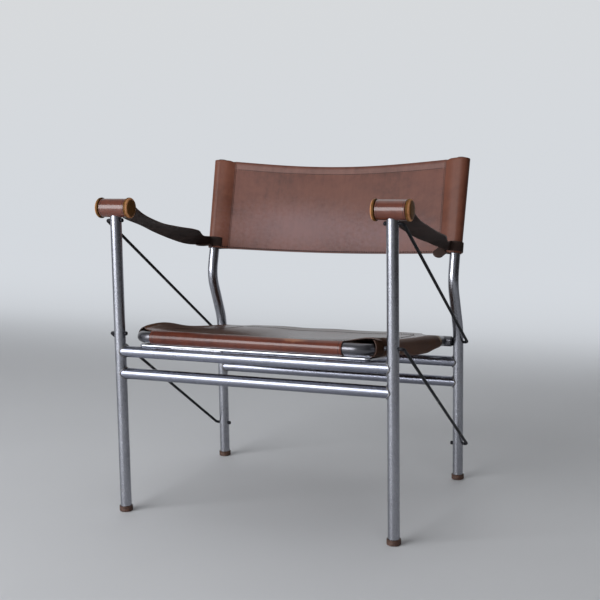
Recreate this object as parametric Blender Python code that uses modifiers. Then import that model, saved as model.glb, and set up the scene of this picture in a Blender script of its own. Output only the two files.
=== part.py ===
"""A folding campaign chair: two steel tube frames joined by four wire stays, with leather
seat, backrest and arm straps.

Metres, +Z up, the sitter faces -Y. The origin is on the floor, under the middle of the chair.
"""
import math

import bmesh
import bpy
from mathutils import Matrix, Vector

# Driving sizes of the two frames
LEG_SPACING = 0.560
FRAME_DEPTH = 0.437
TUBE_RADIUS = 0.011
TUBE_WALL = 0.002
SEAT_PIVOT_Z = 0.299
FRONT_RAIL_UPPER_Z = 0.3225
REAR_RAIL_BELOW_PIVOT = 0.043
RAIL_SPACING = 0.0435
GRIP_AXIS_Z = 0.602

# The rear post bends forward at the sitter's loins, then leans back inside the backrest
POST_BEND_ABOVE_PIVOT = 0.026
POST_BULGE_RISE = 0.104
POST_UPPER_RISE = 0.255
POST_BULGE_FORWARD = 0.0437
POST_LEAN_BACK = 0.0246
POST_BEND_RADIUS = 0.10
POST_BULGE_RADIUS = 0.08

# Stays and the holes that their bent ends turn in
STAY_RADIUS = 0.003
STAY_BEND_RADIUS = 0.0055
UPPER_STAY_BELOW_GRIP = 0.0235
LOWER_STAY_ABOVE_RAIL = 0.0355
CAP_RADIUS = 0.004
CAP_LENGTH = 0.005
CAP_GRIP = 0.003
CAP_CROWN_SHARES = [(0.55, 0.08), (0.88, 0.3), (1.0, 0.5)]

# Leather
LEATHER = 0.0022
SEAT_SAG = 0.012
SEAT_SAG_POWER = 0.7
BACKREST_ABOVE_BULGE = 0.060
BACKREST_SAG = 0.026
BACKREST_SAG_POWER = 0.8
BACKREST_DIP = 0.015
BACKREST_DIP_POWER = 1.5
STRAP_WIDTH = 0.055
STRAP_TAIL_WIDTH = 0.026
STRAP_ABOVE_HEM = 0.005
STRAP_LEAVE_SLOPE = 0.52
STRAP_REACH_SLOPE = 0.17
STRAP_MEET_DEGREES = 25
STRAP_TURN_DEGREES = 90
STRAP_TURN_POWER = 4.5
STRAP_NARROW_SHARES = (0.72, 0.82)
TAIL_LENGTH = 0.062
TAIL_INWARD = 0.012
TAIL_DROOP = 0.010
TAIL_TILT_DEGREES = 30
TAIL_FLAT_DEGREES = 8
TAIL_NECK_SHARE = 0.45
TAIL_ROUND_SHARE = 0.25

# Turned grips
GRIP_RIM_RADIUS = 0.020
GRIP_RIM_WIDTH = 0.0085
GRIP_RIM_STEP = 0.0045
GRIP_SHOULDER_ROOM = 0.0015
GRIP_SOCKET_ABOVE_AXIS = 0.007
GRIP_ROUND = 0.003
GRIP_FACE_SHARES = (0.6, 0.2)
GRIP_ROUND_SHARES = [(1.0, 0.5), (0.3, 1.0), (0.0, 1.8)]
PIN_RADIUS = 0.002

# Seat frame
SEAT_SIDE_INSET = 0.035
SEAT_CORNER_RADIUS = 0.040
SEAT_FRONT_BARE = 0.048
SEAT_REAR_BARE = 0.045
SEAT_SIDE_BARE_FRONT = 0.034
SEAT_SIDE_BARE_REAR = 0.0554
BAIL_RADIUS = 0.0028
BAIL_INSET = 0.010
BAIL_ARM_LENGTH = 0.085
BAIL_BEND_RADIUS = 0.008
BAIL_END_BEND_RADIUS = 0.0032
CLIP_RADIUS = 0.001
CLIP_BEND_RADIUS = 0.0012
CLIP_STAND_OFF = 0.003
CLIP_INSET = 0.071
CLIP_LENGTH = 0.107
BUSH_LENGTH = 0.016
WASHER_RADIUS = 0.009
WASHER_THICKNESS = 0.003

# Feet and plugs
FOOT_WALL = 0.0019
FOOT_HEIGHT = 0.011
FOOT_SOLE = 0.003
FOOT_ROUND = 0.0015
PLUG_FLANGE = 0.0015
PLUG_DEPTH = 0.012

# Clearances
GAP = 0.0003
STAY_RUN = 0.0008
SLIT_ROOM = 0.0008
CUT_OVERRUN = 0.010
MERGE_DISTANCE = 0.0001

# Places worked out from the sizes above
HALF_SPACING = LEG_SPACING / 2
FRONT_RAIL_LOWER_Z = FRONT_RAIL_UPPER_Z - RAIL_SPACING
REAR_RAIL_UPPER_Z = SEAT_PIVOT_Z - REAR_RAIL_BELOW_PIVOT
REAR_RAIL_LOWER_Z = REAR_RAIL_UPPER_Z - RAIL_SPACING
POST_BEND_Z = SEAT_PIVOT_Z + POST_BEND_ABOVE_PIVOT
POST_BULGE_Z = POST_BEND_Z + POST_BULGE_RISE
POST_TOP_Z = POST_BULGE_Z + POST_UPPER_RISE
TUBE_BORE_RADIUS = TUBE_RADIUS - TUBE_WALL
TUBE_FIT_RADIUS = TUBE_RADIUS + GAP
SLEEVE_RADIUS = TUBE_FIT_RADIUS + LEATHER
STRAP_LOOP_BORE = SLEEVE_RADIUS + 2 * GAP
STRAP_LOOP_RADIUS = STRAP_LOOP_BORE + LEATHER
BACKREST_BOTTOM_Z = POST_BULGE_Z + BACKREST_ABOVE_BULGE
STRAP_LOOP_Z = BACKREST_BOTTOM_Z + STRAP_ABOVE_HEM + STRAP_TAIL_WIDTH / 2
HOLE_RADIUS = STAY_RADIUS + GAP
STAY_X = HALF_SPACING + STRAP_LOOP_RADIUS + STAY_RUN + STAY_RADIUS
UPPER_STAY_FRONT_Z = GRIP_AXIS_Z - UPPER_STAY_BELOW_GRIP
LOWER_STAY_FRONT_Z = FRONT_RAIL_UPPER_Z + LOWER_STAY_ABOVE_RAIL
STAY_DROP = UPPER_STAY_FRONT_Z - SEAT_PIVOT_Z
LOWER_STAY_REAR_Z = LOWER_STAY_FRONT_Z - STAY_DROP
BACK_REACH = POST_LEAN_BACK + max(SLEEVE_RADIUS, BACKREST_SAG - TUBE_FIT_RADIUS)
CHAIR_REACH = GRIP_RIM_RADIUS + FRAME_DEPTH + BACK_REACH
FRONT_Y = GRIP_RIM_RADIUS - CHAIR_REACH / 2
REAR_Y = FRONT_Y + FRAME_DEPTH
SEAT_FRONT_Z = FRONT_RAIL_UPPER_Z + TUBE_RADIUS + GAP + 2 * BAIL_RADIUS + GAP + SLEEVE_RADIUS
SEAT_TILT = math.atan2(SEAT_FRONT_Z - SEAT_PIVOT_Z, FRAME_DEPTH)
SEAT_REACH = FRAME_DEPTH / math.cos(SEAT_TILT)
SEAT_SIDE_SPACING = LEG_SPACING - 2 * SEAT_SIDE_INSET
SEAT_FRONT_WRAP = SEAT_SIDE_SPACING - 2 * SEAT_FRONT_BARE
SEAT_REAR_WRAP = SEAT_SIDE_SPACING - 2 * SEAT_REAR_BARE
SEAT_SIDE_WRAP = SEAT_REACH - SEAT_SIDE_BARE_FRONT - SEAT_SIDE_BARE_REAR
BAIL_WIDTH = SEAT_SIDE_SPACING - 2 * BAIL_INSET
GRIP_CORE_RADIUS = GRIP_RIM_RADIUS - GRIP_RIM_STEP
GRIP_LENGTH = STRAP_WIDTH + 2 * (GRIP_RIM_WIDTH + GRIP_SHOULDER_ROOM)
FOOT_RADIUS = TUBE_FIT_RADIUS + FOOT_WALL
STRAP_BORE = GRIP_CORE_RADIUS + GAP
STRAP_OUTER = STRAP_BORE + LEATHER
TUBE_SIDES = 20
BORE_SIDES = 12
WIRE_SIDES = 10
CLIP_SIDES = 8
SIDES = {"left": -1, "right": 1}


# Helpers

def collection(name):
    made = bpy.data.collections.new(name)
    bpy.context.scene.collection.children.link(made)
    return made


def finish(name, colour, roughness, metallic=0.0):
    made = bpy.data.materials.new(name)
    made.use_nodes = True
    surface = made.node_tree.nodes["Principled BSDF"]
    surface.inputs["Base Color"].default_value = (*colour, 1.0)
    surface.inputs["Roughness"].default_value = roughness
    surface.inputs["Metallic"].default_value = metallic
    return made


def place(name, mesh, look=None, home=None, parent=None):
    """Link an object that holds mesh, in the part's collection or in another."""
    made = bpy.data.objects.new(name, mesh)
    (home or PARTS).objects.link(made)
    if look:
        made.data.materials.clear()
        made.data.materials.append(look)
    if parent:
        made.parent = parent
    return made


def as_cutter(made):
    made.hide_render = True
    made.display_type = 'WIRE'
    return made


def rounded_route(corners, radii, steps=6):
    """A route through corners, where each inner corner becomes an arc of its radius."""
    route = [Vector(corners[0])]
    for before, corner, after, radius in zip(corners, corners[1:], corners[2:], radii):
        corner = Vector(corner)
        inward = (Vector(before) - corner).normalized()
        outward = (Vector(after) - corner).normalized()
        turn = math.pi - inward.angle(outward)
        start = corner + inward * radius * math.tan(turn / 2)
        middle = corner + (inward + outward).normalized() * radius / math.cos(turn / 2)
        axis = (start - middle).cross(-inward).normalized()
        for step in range(steps + 1):
            spin = Matrix.Rotation(turn * step / steps, 3, axis)
            route.append(middle + spin @ (start - middle))
    route.append(Vector(corners[-1]))
    return route


def tube_mesh(name, route, radius, sides=TUBE_SIDES):
    """A closed round bar along route, as a mesh made from a bevelled curve."""
    curve = bpy.data.curves.new(name, 'CURVE')
    curve.dimensions = '3D'
    curve.bevel_depth = radius
    curve.bevel_resolution = (sides - 4) // 2
    curve.use_fill_caps = True
    spline = curve.splines.new('POLY')
    spline.points.add(len(route) - 1)
    for point, spot in zip(spline.points, route):
        point.co = (*spot, 1.0)
    guide = bpy.data.objects.new(name + "_guide", curve)
    CUTTERS.objects.link(guide)
    bpy.context.view_layer.update()
    made = bpy.data.meshes.new_from_object(guide.evaluated_get(bpy.context.evaluated_depsgraph_get()))
    bpy.data.objects.remove(guide)
    weld(made)
    return made


def weld(mesh, triangles=False):
    """Close a mesh's seams. Triangles keep a curved sheet's faces flat for the Booleans."""
    shape = bmesh.new()
    shape.from_mesh(mesh)
    bmesh.ops.remove_doubles(shape, verts=shape.verts, dist=GAP / 10)
    bmesh.ops.recalc_face_normals(shape, faces=shape.faces)
    if triangles:
        bmesh.ops.triangulate(shape, faces=shape.faces)
    shape.to_mesh(mesh)
    shape.free()


def smooth(made):
    made.data.shade_smooth()
    made.data.set_sharp_from_angle(angle=math.radians(40))
    return made


def cylinder_mesh(name, radius, length, centre, axis, sides=TUBE_SIDES):
    """A closed cylinder centred on a point, with its axis along a direction."""
    shape = bmesh.new()
    turn = Vector((0, 0, 1)).rotation_difference(Vector(axis)).to_matrix().to_4x4()
    matrix = Matrix.Translation(Vector(centre)) @ turn
    bmesh.ops.create_cone(shape, cap_ends=True, segments=sides, radius1=radius, radius2=radius,
                          depth=length, matrix=matrix)
    made = bpy.data.meshes.new(name)
    shape.to_mesh(made)
    shape.free()
    return made


def box_mesh(name, size, centre):
    shape = bmesh.new()
    matrix = Matrix.Translation(Vector(centre)) @ Matrix.Diagonal((*size, 1.0))
    bmesh.ops.create_cube(shape, size=1.0, matrix=matrix)
    made = bpy.data.meshes.new(name)
    shape.to_mesh(made)
    shape.free()
    return made


def turned(name, profile, look, centre, axis, sides=TUBE_SIDES, parent=None, home=None):
    """A piece turned about local Z from (radius, height) points that run top to bottom."""
    shape = bmesh.new()
    rings = [shape.verts.new((radius, 0.0, height)) for radius, height in profile]
    for first, second in zip(rings, rings[1:]):
        shape.edges.new((first, second))
    mesh = bpy.data.meshes.new(name)
    shape.to_mesh(mesh)
    shape.free()
    made = place(name, mesh, look, home, parent)
    made.location = centre
    made.rotation_euler = Vector((0, 0, 1)).rotation_difference(Vector(axis)).to_euler()
    screw = made.modifiers.new("turn", 'SCREW')
    screw.steps = sides
    screw.render_steps = sides
    screw.use_merge_vertices = True
    screw.merge_threshold = MERGE_DISTANCE
    return made


def boolean(made, other, operation):
    cut = made.modifiers.new(operation.lower(), 'BOOLEAN')
    cut.operation = operation
    cut.solver = 'EXACT'
    cut.object = other


def ring_profile(inner, outer, length):
    """The outline of a plain ring, for turned."""
    half = length / 2
    return [(inner, half), (outer, half), (outer, -half), (inner, -half), (inner, half)]


def cut_with(made, *meshes):
    for index, mesh in enumerate(meshes):
        cutter = as_cutter(place(f"{made.name}_cut_{index}", mesh, home=CUTTERS))
        cutter.parent = made.parent
        boolean(made, cutter, 'DIFFERENCE')
    return made


def join_with(made, *meshes):
    for index, mesh in enumerate(meshes):
        extra = as_cutter(place(f"{made.name}_add_{index}", mesh, home=CUTTERS))
        extra.parent = made.parent
        boolean(made, extra, 'UNION')
    return made


def sheet_mesh(name, surface, across, along, thickness):
    """A closed sheet about surface(u, v), with u and v from 0 to 1, thickened evenly."""
    shape = bmesh.new()
    bmesh.ops.create_grid(shape, x_segments=across, y_segments=along, size=1.0)
    for vert in shape.verts:
        vert.co = surface((1 + vert.co.x) / 2, (1 + vert.co.y) / 2)
    flat = bpy.data.meshes.new(name + "_flat")
    shape.to_mesh(flat)
    shape.free()
    guide = place(name + "_guide", flat, home=CUTTERS)
    thick = guide.modifiers.new("thickness", 'SOLIDIFY')
    thick.thickness = thickness
    thick.offset = 0.0
    thick.use_even_offset = True
    bpy.context.view_layer.update()
    made = bpy.data.meshes.new_from_object(guide.evaluated_get(bpy.context.evaluated_depsgraph_get()))
    bpy.data.objects.remove(guide)
    weld(made, triangles=True)
    return made


def hole_across(side, y, z, radius=HOLE_RADIUS):
    """The cutter for a stay's end, right through a leg or post on one side."""
    length = 2 * (TUBE_RADIUS + CUT_OVERRUN)
    return cylinder_mesh("stay_hole", radius, length, (side * HALF_SPACING, y, z), (1, 0, 0), BORE_SIDES)


# Frames

def post_route(side):
    """The rear post's axis from its foot to its top."""
    x = side * HALF_SPACING
    corners = [
        (x, REAR_Y, FOOT_SOLE + GAP),
        (x, REAR_Y, POST_BEND_Z),
        (x, REAR_Y - POST_BULGE_FORWARD, POST_BULGE_Z),
        (x, REAR_Y + POST_LEAN_BACK, POST_TOP_Z),
    ]
    return rounded_route(corners, [POST_BEND_RADIUS, POST_BULGE_RADIUS], 4)


def lean_axis():
    """The direction of the post's upper straight, which the backrest hangs on."""
    rise = POST_TOP_Z - POST_BULGE_Z
    return Vector((0, POST_LEAN_BACK + POST_BULGE_FORWARD, rise)).normalized()


def post_y(z):
    """Where the leaning part of the post's axis is at height z."""
    lean = (POST_LEAN_BACK + POST_BULGE_FORWARD) / (POST_TOP_Z - POST_BULGE_Z)
    return REAR_Y + POST_LEAN_BACK - (POST_TOP_Z - z) * lean


def hollow(made, route):
    """Bore a tube from end to end, with the bore run out past both ends."""
    first = route[0] + (route[0] - route[1]).normalized() * CUT_OVERRUN
    last = route[-1] + (route[-1] - route[-2]).normalized() * CUT_OVERRUN
    bore = tube_mesh(made.name + "_bore", [first, *route[1:-1], last], TUBE_BORE_RADIUS, BORE_SIDES)
    return cut_with(made, bore)


def make_front_frame():
    for side_name, side in SIDES.items():
        x = side * HALF_SPACING
        route = [
            Vector((x, FRONT_Y, FOOT_SOLE + GAP)),
            Vector((x, FRONT_Y, GRIP_AXIS_Z + GRIP_SOCKET_ABOVE_AXIS - GAP)),
        ]
        leg = place(f"front_leg_{side_name}", tube_mesh("front_leg", route, TUBE_RADIUS), STEEL)
        hollow(leg, route)
        cut_with(leg, hole_across(side, FRONT_Y, UPPER_STAY_FRONT_Z), hole_across(side, FRONT_Y, LOWER_STAY_FRONT_Z))
        cut_with(leg, pin_cutter(side))
    make_rail("front_rail_upper", FRONT_Y, FRONT_RAIL_UPPER_Z)
    make_rail("front_rail_lower", FRONT_Y, FRONT_RAIL_LOWER_Z)


def make_rail(name, y, z):
    """A cross rail, coped at both ends to the legs that it is welded to."""
    route = [Vector((-HALF_SPACING, y, z)), Vector((HALF_SPACING, y, z))]
    rail = place(name, tube_mesh(name, route, TUBE_RADIUS), STEEL)
    hollow(rail, route)
    for side in SIDES.values():
        cope = cylinder_mesh("cope", TUBE_FIT_RADIUS, LEG_SPACING, (side * HALF_SPACING, y, z), (0, 0, 1))
        cut_with(rail, cope)


def make_rear_frame():
    for side_name, side in SIDES.items():
        route = post_route(side)
        post = place(f"rear_post_{side_name}", tube_mesh("rear_post", route, TUBE_RADIUS), STEEL)
        hollow(post, route)
        cut_with(post, hole_across(side, REAR_Y, SEAT_PIVOT_Z), hole_across(side, REAR_Y, LOWER_STAY_REAR_Z))
        make_plug(f"post_plug_{side_name}", route[-1], lean_axis())
        washer_x = side * (HALF_SPACING - TUBE_RADIUS - GAP - WASHER_THICKNESS / 2)
        ring = ring_profile(HOLE_RADIUS, WASHER_RADIUS, WASHER_THICKNESS)
        turned(f"pivot_washer_{side_name}", ring, BLACK_STEEL, (washer_x, REAR_Y, SEAT_PIVOT_Z), (1, 0, 0))
    make_rail("rear_rail_upper", REAR_Y, REAR_RAIL_UPPER_Z)
    make_rail("rear_rail_lower", REAR_Y, REAR_RAIL_LOWER_Z)


def make_plug(name, top, axis):
    """A plug pressed in a post's open top, under the leather."""
    stem = TUBE_BORE_RADIUS - GAP
    profile = [(0, GAP + PLUG_FLANGE), (TUBE_RADIUS, GAP + PLUG_FLANGE), (TUBE_RADIUS, GAP),
               (stem, GAP), (stem, -PLUG_DEPTH), (0, -PLUG_DEPTH)]
    turned(name, profile, BLACK_PLASTIC, top, axis)


def make_feet():
    """Tips that cup the ends of the four legs."""
    for row, y in (("front", FRONT_Y), ("rear", REAR_Y)):
        for side_name, side in SIDES.items():
            profile = [
                (TUBE_FIT_RADIUS, FOOT_HEIGHT),
                (FOOT_RADIUS, FOOT_HEIGHT),
                (FOOT_RADIUS, FOOT_ROUND),
                (FOOT_RADIUS - FOOT_ROUND, 0),
                (0, 0),
                (0, FOOT_SOLE),
                (TUBE_FIT_RADIUS, FOOT_SOLE),
                (TUBE_FIT_RADIUS, FOOT_HEIGHT),
            ]
            turned(f"{row}_foot_{side_name}", profile, FOOT_LEATHER, (side * HALF_SPACING, y, 0), (0, 0, 1))


# Stays

def stay_end_x(front, upper):
    """How far in a stay's bent end reaches: into a cap, or into the seat's pivot bush."""
    if upper and not front:
        return HALF_SPACING - TUBE_RADIUS - WASHER_THICKNESS - 2 * GAP - BUSH_LENGTH
    return HALF_SPACING - TUBE_RADIUS - GAP - CAP_GRIP


def make_stays():
    levels = {
        "upper": (UPPER_STAY_FRONT_Z, SEAT_PIVOT_Z),
        "lower": (LOWER_STAY_FRONT_Z, LOWER_STAY_REAR_Z),
    }
    for level, (front_z, rear_z) in levels.items():
        for side_name, side in SIDES.items():
            corners = [
                (side * stay_end_x(True, level == "upper"), FRONT_Y, front_z),
                (side * STAY_X, FRONT_Y, front_z),
                (side * STAY_X, REAR_Y, rear_z),
                (side * stay_end_x(False, level == "upper"), REAR_Y, rear_z),
            ]
            hinge = bpy.data.objects.new(f"{level}_stay_{side_name}_hinge", None)
            hinge.location = (side * STAY_X, REAR_Y, rear_z)
            PARTS.objects.link(hinge)
            local = [Vector(corner) - hinge.location for corner in corners]
            route = rounded_route(local, [STAY_BEND_RADIUS, STAY_BEND_RADIUS], 5)
            place(f"{level}_stay_{side_name}", tube_mesh("stay", route, STAY_RADIUS, WIRE_SIDES), BLACK_STEEL,
                  parent=hinge)
            make_cap(f"{level}_stay_cap_front_{side_name}", side, FRONT_Y, front_z)
            if level == "lower":
                make_cap(f"lower_stay_cap_rear_{side_name}", side, REAR_Y, rear_z)


def make_cap(name, side, y, z):
    """A push-on cap that keeps a stay's end in its leg."""
    socket = CAP_GRIP + GAP
    crown = [(CAP_RADIUS * out, CAP_LENGTH - CAP_RADIUS * down) for out, down in CAP_CROWN_SHARES]
    bore = [(HOLE_RADIUS, 0), (HOLE_RADIUS, socket), (0, socket)]
    profile = [(0, CAP_LENGTH), *crown, (CAP_RADIUS, 0), *bore]
    inner = HALF_SPACING - TUBE_RADIUS - GAP
    turned(name, profile, BLACK_STEEL, (side * inner, y, z), (-side, 0, 0), BORE_SIDES)


# Grips

def pin_cutter(side):
    length = 2 * (GRIP_CORE_RADIUS + CUT_OVERRUN)
    centre = (side * HALF_SPACING, FRONT_Y, GRIP_AXIS_Z)
    return cylinder_mesh("pin_hole", PIN_RADIUS + GAP, length, centre, (0, 1, 0), WIRE_SIDES)


def make_grips():
    """Turned wooden grips across the tops of the front legs, each pinned through its leg."""
    half = GRIP_LENGTH / 2
    shoulder = half - GRIP_RIM_WIDTH
    face_out, face_down = GRIP_FACE_SHARES
    upper = [(0, half), (GRIP_RIM_RADIUS * face_out, half - GRIP_ROUND * face_down)]
    upper += [(GRIP_RIM_RADIUS - GRIP_ROUND * inward, half - GRIP_ROUND * down) for inward, down in GRIP_ROUND_SHARES]
    upper += [(GRIP_RIM_RADIUS, shoulder), (GRIP_CORE_RADIUS, shoulder)]
    profile = upper + [(radius, -height) for radius, height in reversed(upper)]
    for side_name, side in SIDES.items():
        centre = (side * HALF_SPACING, FRONT_Y, GRIP_AXIS_Z)
        grip = turned(f"grip_spool_{side_name}", profile, WOOD, centre, (1, 0, 0))
        socket_top = GRIP_AXIS_Z + GRIP_SOCKET_ABOVE_AXIS
        socket_length = socket_top - GRIP_AXIS_Z + GRIP_RIM_RADIUS + CUT_OVERRUN
        socket_centre = (side * HALF_SPACING, FRONT_Y, socket_top - socket_length / 2)
        cut_with(grip, cylinder_mesh("socket", TUBE_FIT_RADIUS, socket_length, socket_centre, (0, 0, 1)))
        cut_with(grip, pin_cutter(side))
        smooth(grip)
        pin = cylinder_mesh("pin", PIN_RADIUS, 2 * (GRIP_CORE_RADIUS - GAP), centre, (0, 1, 0), WIRE_SIDES)
        place(f"grip_pin_{side_name}", pin, STEEL)


# Seat

def seat_hinge():
    """The seat's own frame: origin on the pivot, local -Y along the side tubes to the front."""
    hinge = bpy.data.objects.new("seat_hinge", None)
    hinge.location = (0, REAR_Y, SEAT_PIVOT_Z)
    hinge.rotation_euler = (-SEAT_TILT, 0, 0)
    PARTS.objects.link(hinge)
    return hinge


def seat_tube_route(end_y):
    half = SEAT_SIDE_SPACING / 2
    corners = [(-half, end_y, 0), (-half, -SEAT_REACH, 0), (half, -SEAT_REACH, 0), (half, end_y, 0)]
    return rounded_route(corners, [SEAT_CORNER_RADIUS, SEAT_CORNER_RADIUS], 6)


def make_seat_frame(hinge):
    pivot_half = HALF_SPACING - TUBE_RADIUS - WASHER_THICKNESS - 2 * GAP
    pivot_route = [Vector((-pivot_half, 0, 0)), Vector((pivot_half, 0, 0))]
    pivot = place("seat_pivot_tube", tube_mesh("seat_pivot_tube", pivot_route, TUBE_RADIUS), STEEL, parent=hinge)
    hollow(pivot, pivot_route)
    route = seat_tube_route(0)
    frame = place("seat_frame_tube", tube_mesh("seat_frame_tube", route, TUBE_RADIUS), STEEL, parent=hinge)
    hollow(frame, route)
    cope_length = SEAT_SIDE_SPACING + 4 * TUBE_RADIUS
    cut_with(frame, cylinder_mesh("cope", TUBE_FIT_RADIUS, cope_length, (0, 0, 0), (1, 0, 0)))
    half = BUSH_LENGTH / 2
    for side_name, side in SIDES.items():
        ring = ring_profile(HOLE_RADIUS, TUBE_BORE_RADIUS - GAP, BUSH_LENGTH)
        centre = (side * (pivot_half - half), 0, 0)
        turned(f"pivot_bush_{side_name}", ring, BLACK_PLASTIC, centre, (1, 0, 0), parent=hinge)


def seat_surface(u, v):
    """The middle of the seat leather between the tubes, in the seat's own frame."""
    half = SEAT_SIDE_SPACING / 2 - LEATHER
    rest = TUBE_FIT_RADIUS + LEATHER / 2 + GAP
    x = -half + 2 * half * u
    y = -LEATHER - (SEAT_REACH - 2 * LEATHER) * (1 - v)
    sag = SEAT_SAG * (16 * u * (1 - u) * v * (1 - v)) ** SEAT_SAG_POWER
    return Vector((x, y, rest - sag))


def make_seat_sling(hinge):
    """One hide: a sagging panel whose edges wrap the front, side and pivot tubes."""
    half = SEAT_SIDE_SPACING / 2
    panel = sheet_mesh("seat_panel", seat_surface, 14, 12, LEATHER)
    sling = place("seat_sling", panel, SEAT_LEATHER, parent=hinge)
    reach = 2 * CUT_OVERRUN
    tall = 4 * SLEEVE_RADIUS
    for side in SIDES.values():
        front_size = (SEAT_FRONT_BARE + reach, SEAT_CORNER_RADIUS + 2 * SLEEVE_RADIUS, tall)
        front_x = side * (SEAT_FRONT_WRAP / 2 + GAP + front_size[0] / 2)
        rear_size = (SEAT_REAR_BARE + reach, SEAT_SIDE_BARE_REAR + reach, tall)
        rear_x = side * (SEAT_REAR_WRAP / 2 + GAP + rear_size[0] / 2)
        rear_y = -SEAT_SIDE_BARE_REAR + GAP + rear_size[1] / 2
        front_cut = box_mesh("front_corner_cut", front_size, (front_x, -SEAT_REACH - TUBE_RADIUS, 0))
        cut_with(sling, front_cut, box_mesh("rear_corner_cut", rear_size, (rear_x, rear_y, 0)))
    side_middle = -SEAT_REACH + SEAT_SIDE_BARE_FRONT + SEAT_SIDE_WRAP / 2
    wraps = [
        cylinder_mesh("front_wrap", SLEEVE_RADIUS, SEAT_FRONT_WRAP, (0, -SEAT_REACH, 0), (1, 0, 0)),
        cylinder_mesh("rear_wrap", SLEEVE_RADIUS, SEAT_REAR_WRAP, (0, 0, 0), (1, 0, 0)),
        cylinder_mesh("left_wrap", SLEEVE_RADIUS, SEAT_SIDE_WRAP, (-half, side_middle, 0), (0, 1, 0)),
        cylinder_mesh("right_wrap", SLEEVE_RADIUS, SEAT_SIDE_WRAP, (half, side_middle, 0), (0, 1, 0)),
    ]
    join_with(sling, *wraps)
    cut_with(sling, tube_mesh("seat_tube_room", seat_tube_route(LEATHER), TUBE_FIT_RADIUS))
    room_length = SEAT_REAR_WRAP + reach
    cut_with(sling, cylinder_mesh("pivot_room", TUBE_FIT_RADIUS, room_length, (0, 0, 0), (1, 0, 0)))


def make_bail(hinge):
    """The wire that lies between the seat and the front rail, and its small clip."""
    half = BAIL_WIDTH / 2
    drop = SLEEVE_RADIUS + GAP + BAIL_RADIUS
    front = -SEAT_REACH + drop * math.tan(SEAT_TILT)
    back = front + BAIL_ARM_LENGTH
    end_z = -TUBE_FIT_RADIUS
    corners = [(-half, back, end_z), (-half, back, -drop), (-half, front, -drop),
               (half, front, -drop), (half, back, -drop), (half, back, end_z)]
    radii = [BAIL_END_BEND_RADIUS, BAIL_BEND_RADIUS, BAIL_BEND_RADIUS, BAIL_END_BEND_RADIUS]
    wire = tube_mesh("seat_bail", rounded_route(corners, radii, 4), BAIL_RADIUS, WIRE_SIDES)
    place("seat_bail_wire", wire, BRIGHT_STEEL, parent=hinge)
    touch = front - BAIL_RADIUS - GAP
    forward = touch - CLIP_STAND_OFF
    low = -drop - CLIP_RADIUS
    begin = -half + CLIP_INSET
    end = begin + CLIP_LENGTH
    corners = [(begin, touch, low), (begin, forward, low), (end, forward, low), (end, touch, low)]
    clip_route = rounded_route(corners, [CLIP_BEND_RADIUS, CLIP_BEND_RADIUS], 3)
    place("seat_bail_clip", tube_mesh("clip", clip_route, CLIP_RADIUS, CLIP_SIDES), BRIGHT_STEEL, parent=hinge)


# Backrest and arm straps

def backrest_surface(u, v):
    """The middle of the backrest leather, hung between the fronts of the two sleeves."""
    x = -HALF_SPACING + LEG_SPACING * u
    bow = 4 * u * (1 - u)
    z = BACKREST_BOTTOM_Z + (POST_TOP_Z - BACKREST_BOTTOM_Z) * v
    y = post_y(z) - TUBE_FIT_RADIUS - LEATHER / 2 + BACKREST_SAG * bow ** BACKREST_SAG_POWER
    return Vector((x, y, z - BACKREST_DIP * bow ** BACKREST_DIP_POWER))


def make_backrest():
    """One hide that ends in a sleeve round each post, slit where the arm strap goes through."""
    sling = place("backrest_sling", sheet_mesh("backrest_panel", backrest_surface, 16, 6, LEATHER), BACK_LEATHER)
    length = (POST_TOP_Z - BACKREST_BOTTOM_Z) / lean_axis().z
    middle_z = (POST_TOP_Z + BACKREST_BOTTOM_Z) / 2
    for side in SIDES.values():
        centre = (side * HALF_SPACING, post_y(middle_z), middle_z)
        join_with(sling, cylinder_mesh("sleeve", SLEEVE_RADIUS, length, centre, lean_axis()))
    for side in SIDES.values():
        centre = (side * HALF_SPACING, post_y(middle_z), middle_z)
        room_length = length + 2 * CUT_OVERRUN
        cut_with(sling, cylinder_mesh("post_room", TUBE_FIT_RADIUS, room_length, centre, lean_axis()))
        slit = ring_profile(STRAP_LOOP_BORE - GAP, STRAP_LOOP_RADIUS + SLIT_ROOM, STRAP_TAIL_WIDTH + 2 * SLIT_ROOM)
        loop = (side * HALF_SPACING, post_y(STRAP_LOOP_Z), STRAP_LOOP_Z)
        cutter = turned("strap_slit", slit, None, loop, lean_axis(), home=CUTTERS)
        boolean(sling, as_cutter(cutter), 'DIFFERENCE')


def ease(value):
    value = min(1.0, max(0.0, value))
    return value * value * (3 - 2 * value)


def strap_point(side, t):
    """The arm strap's middle line, from the top of the grip to the post, for t from 0 to 1."""
    middle = STRAP_BORE + LEATHER / 2
    leave = math.atan(STRAP_LEAVE_SLOPE)
    loop = STRAP_LOOP_BORE + LEATHER / 2
    start = Vector((side * HALF_SPACING, FRONT_Y + middle * math.sin(leave), GRIP_AXIS_Z + middle * math.cos(leave)))
    inward = math.radians(STRAP_MEET_DEGREES)
    end_y = post_y(STRAP_LOOP_Z) - loop * math.cos(inward)
    end = Vector((side * HALF_SPACING - loop * math.sin(inward), end_y, STRAP_LOOP_Z))
    run = end.y - start.y
    rise = (2 * t ** 3 - 3 * t ** 2 + 1) * start.z + (3 * t ** 2 - 2 * t ** 3) * end.z
    rise -= (t ** 3 - 2 * t ** 2 + t) * run * STRAP_LEAVE_SLOPE + (t ** 3 - t ** 2) * run * STRAP_REACH_SLOPE
    return Vector((start.x + (end.x - start.x) * ease(t * 2 - 1), start.y + run * t, rise))


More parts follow.
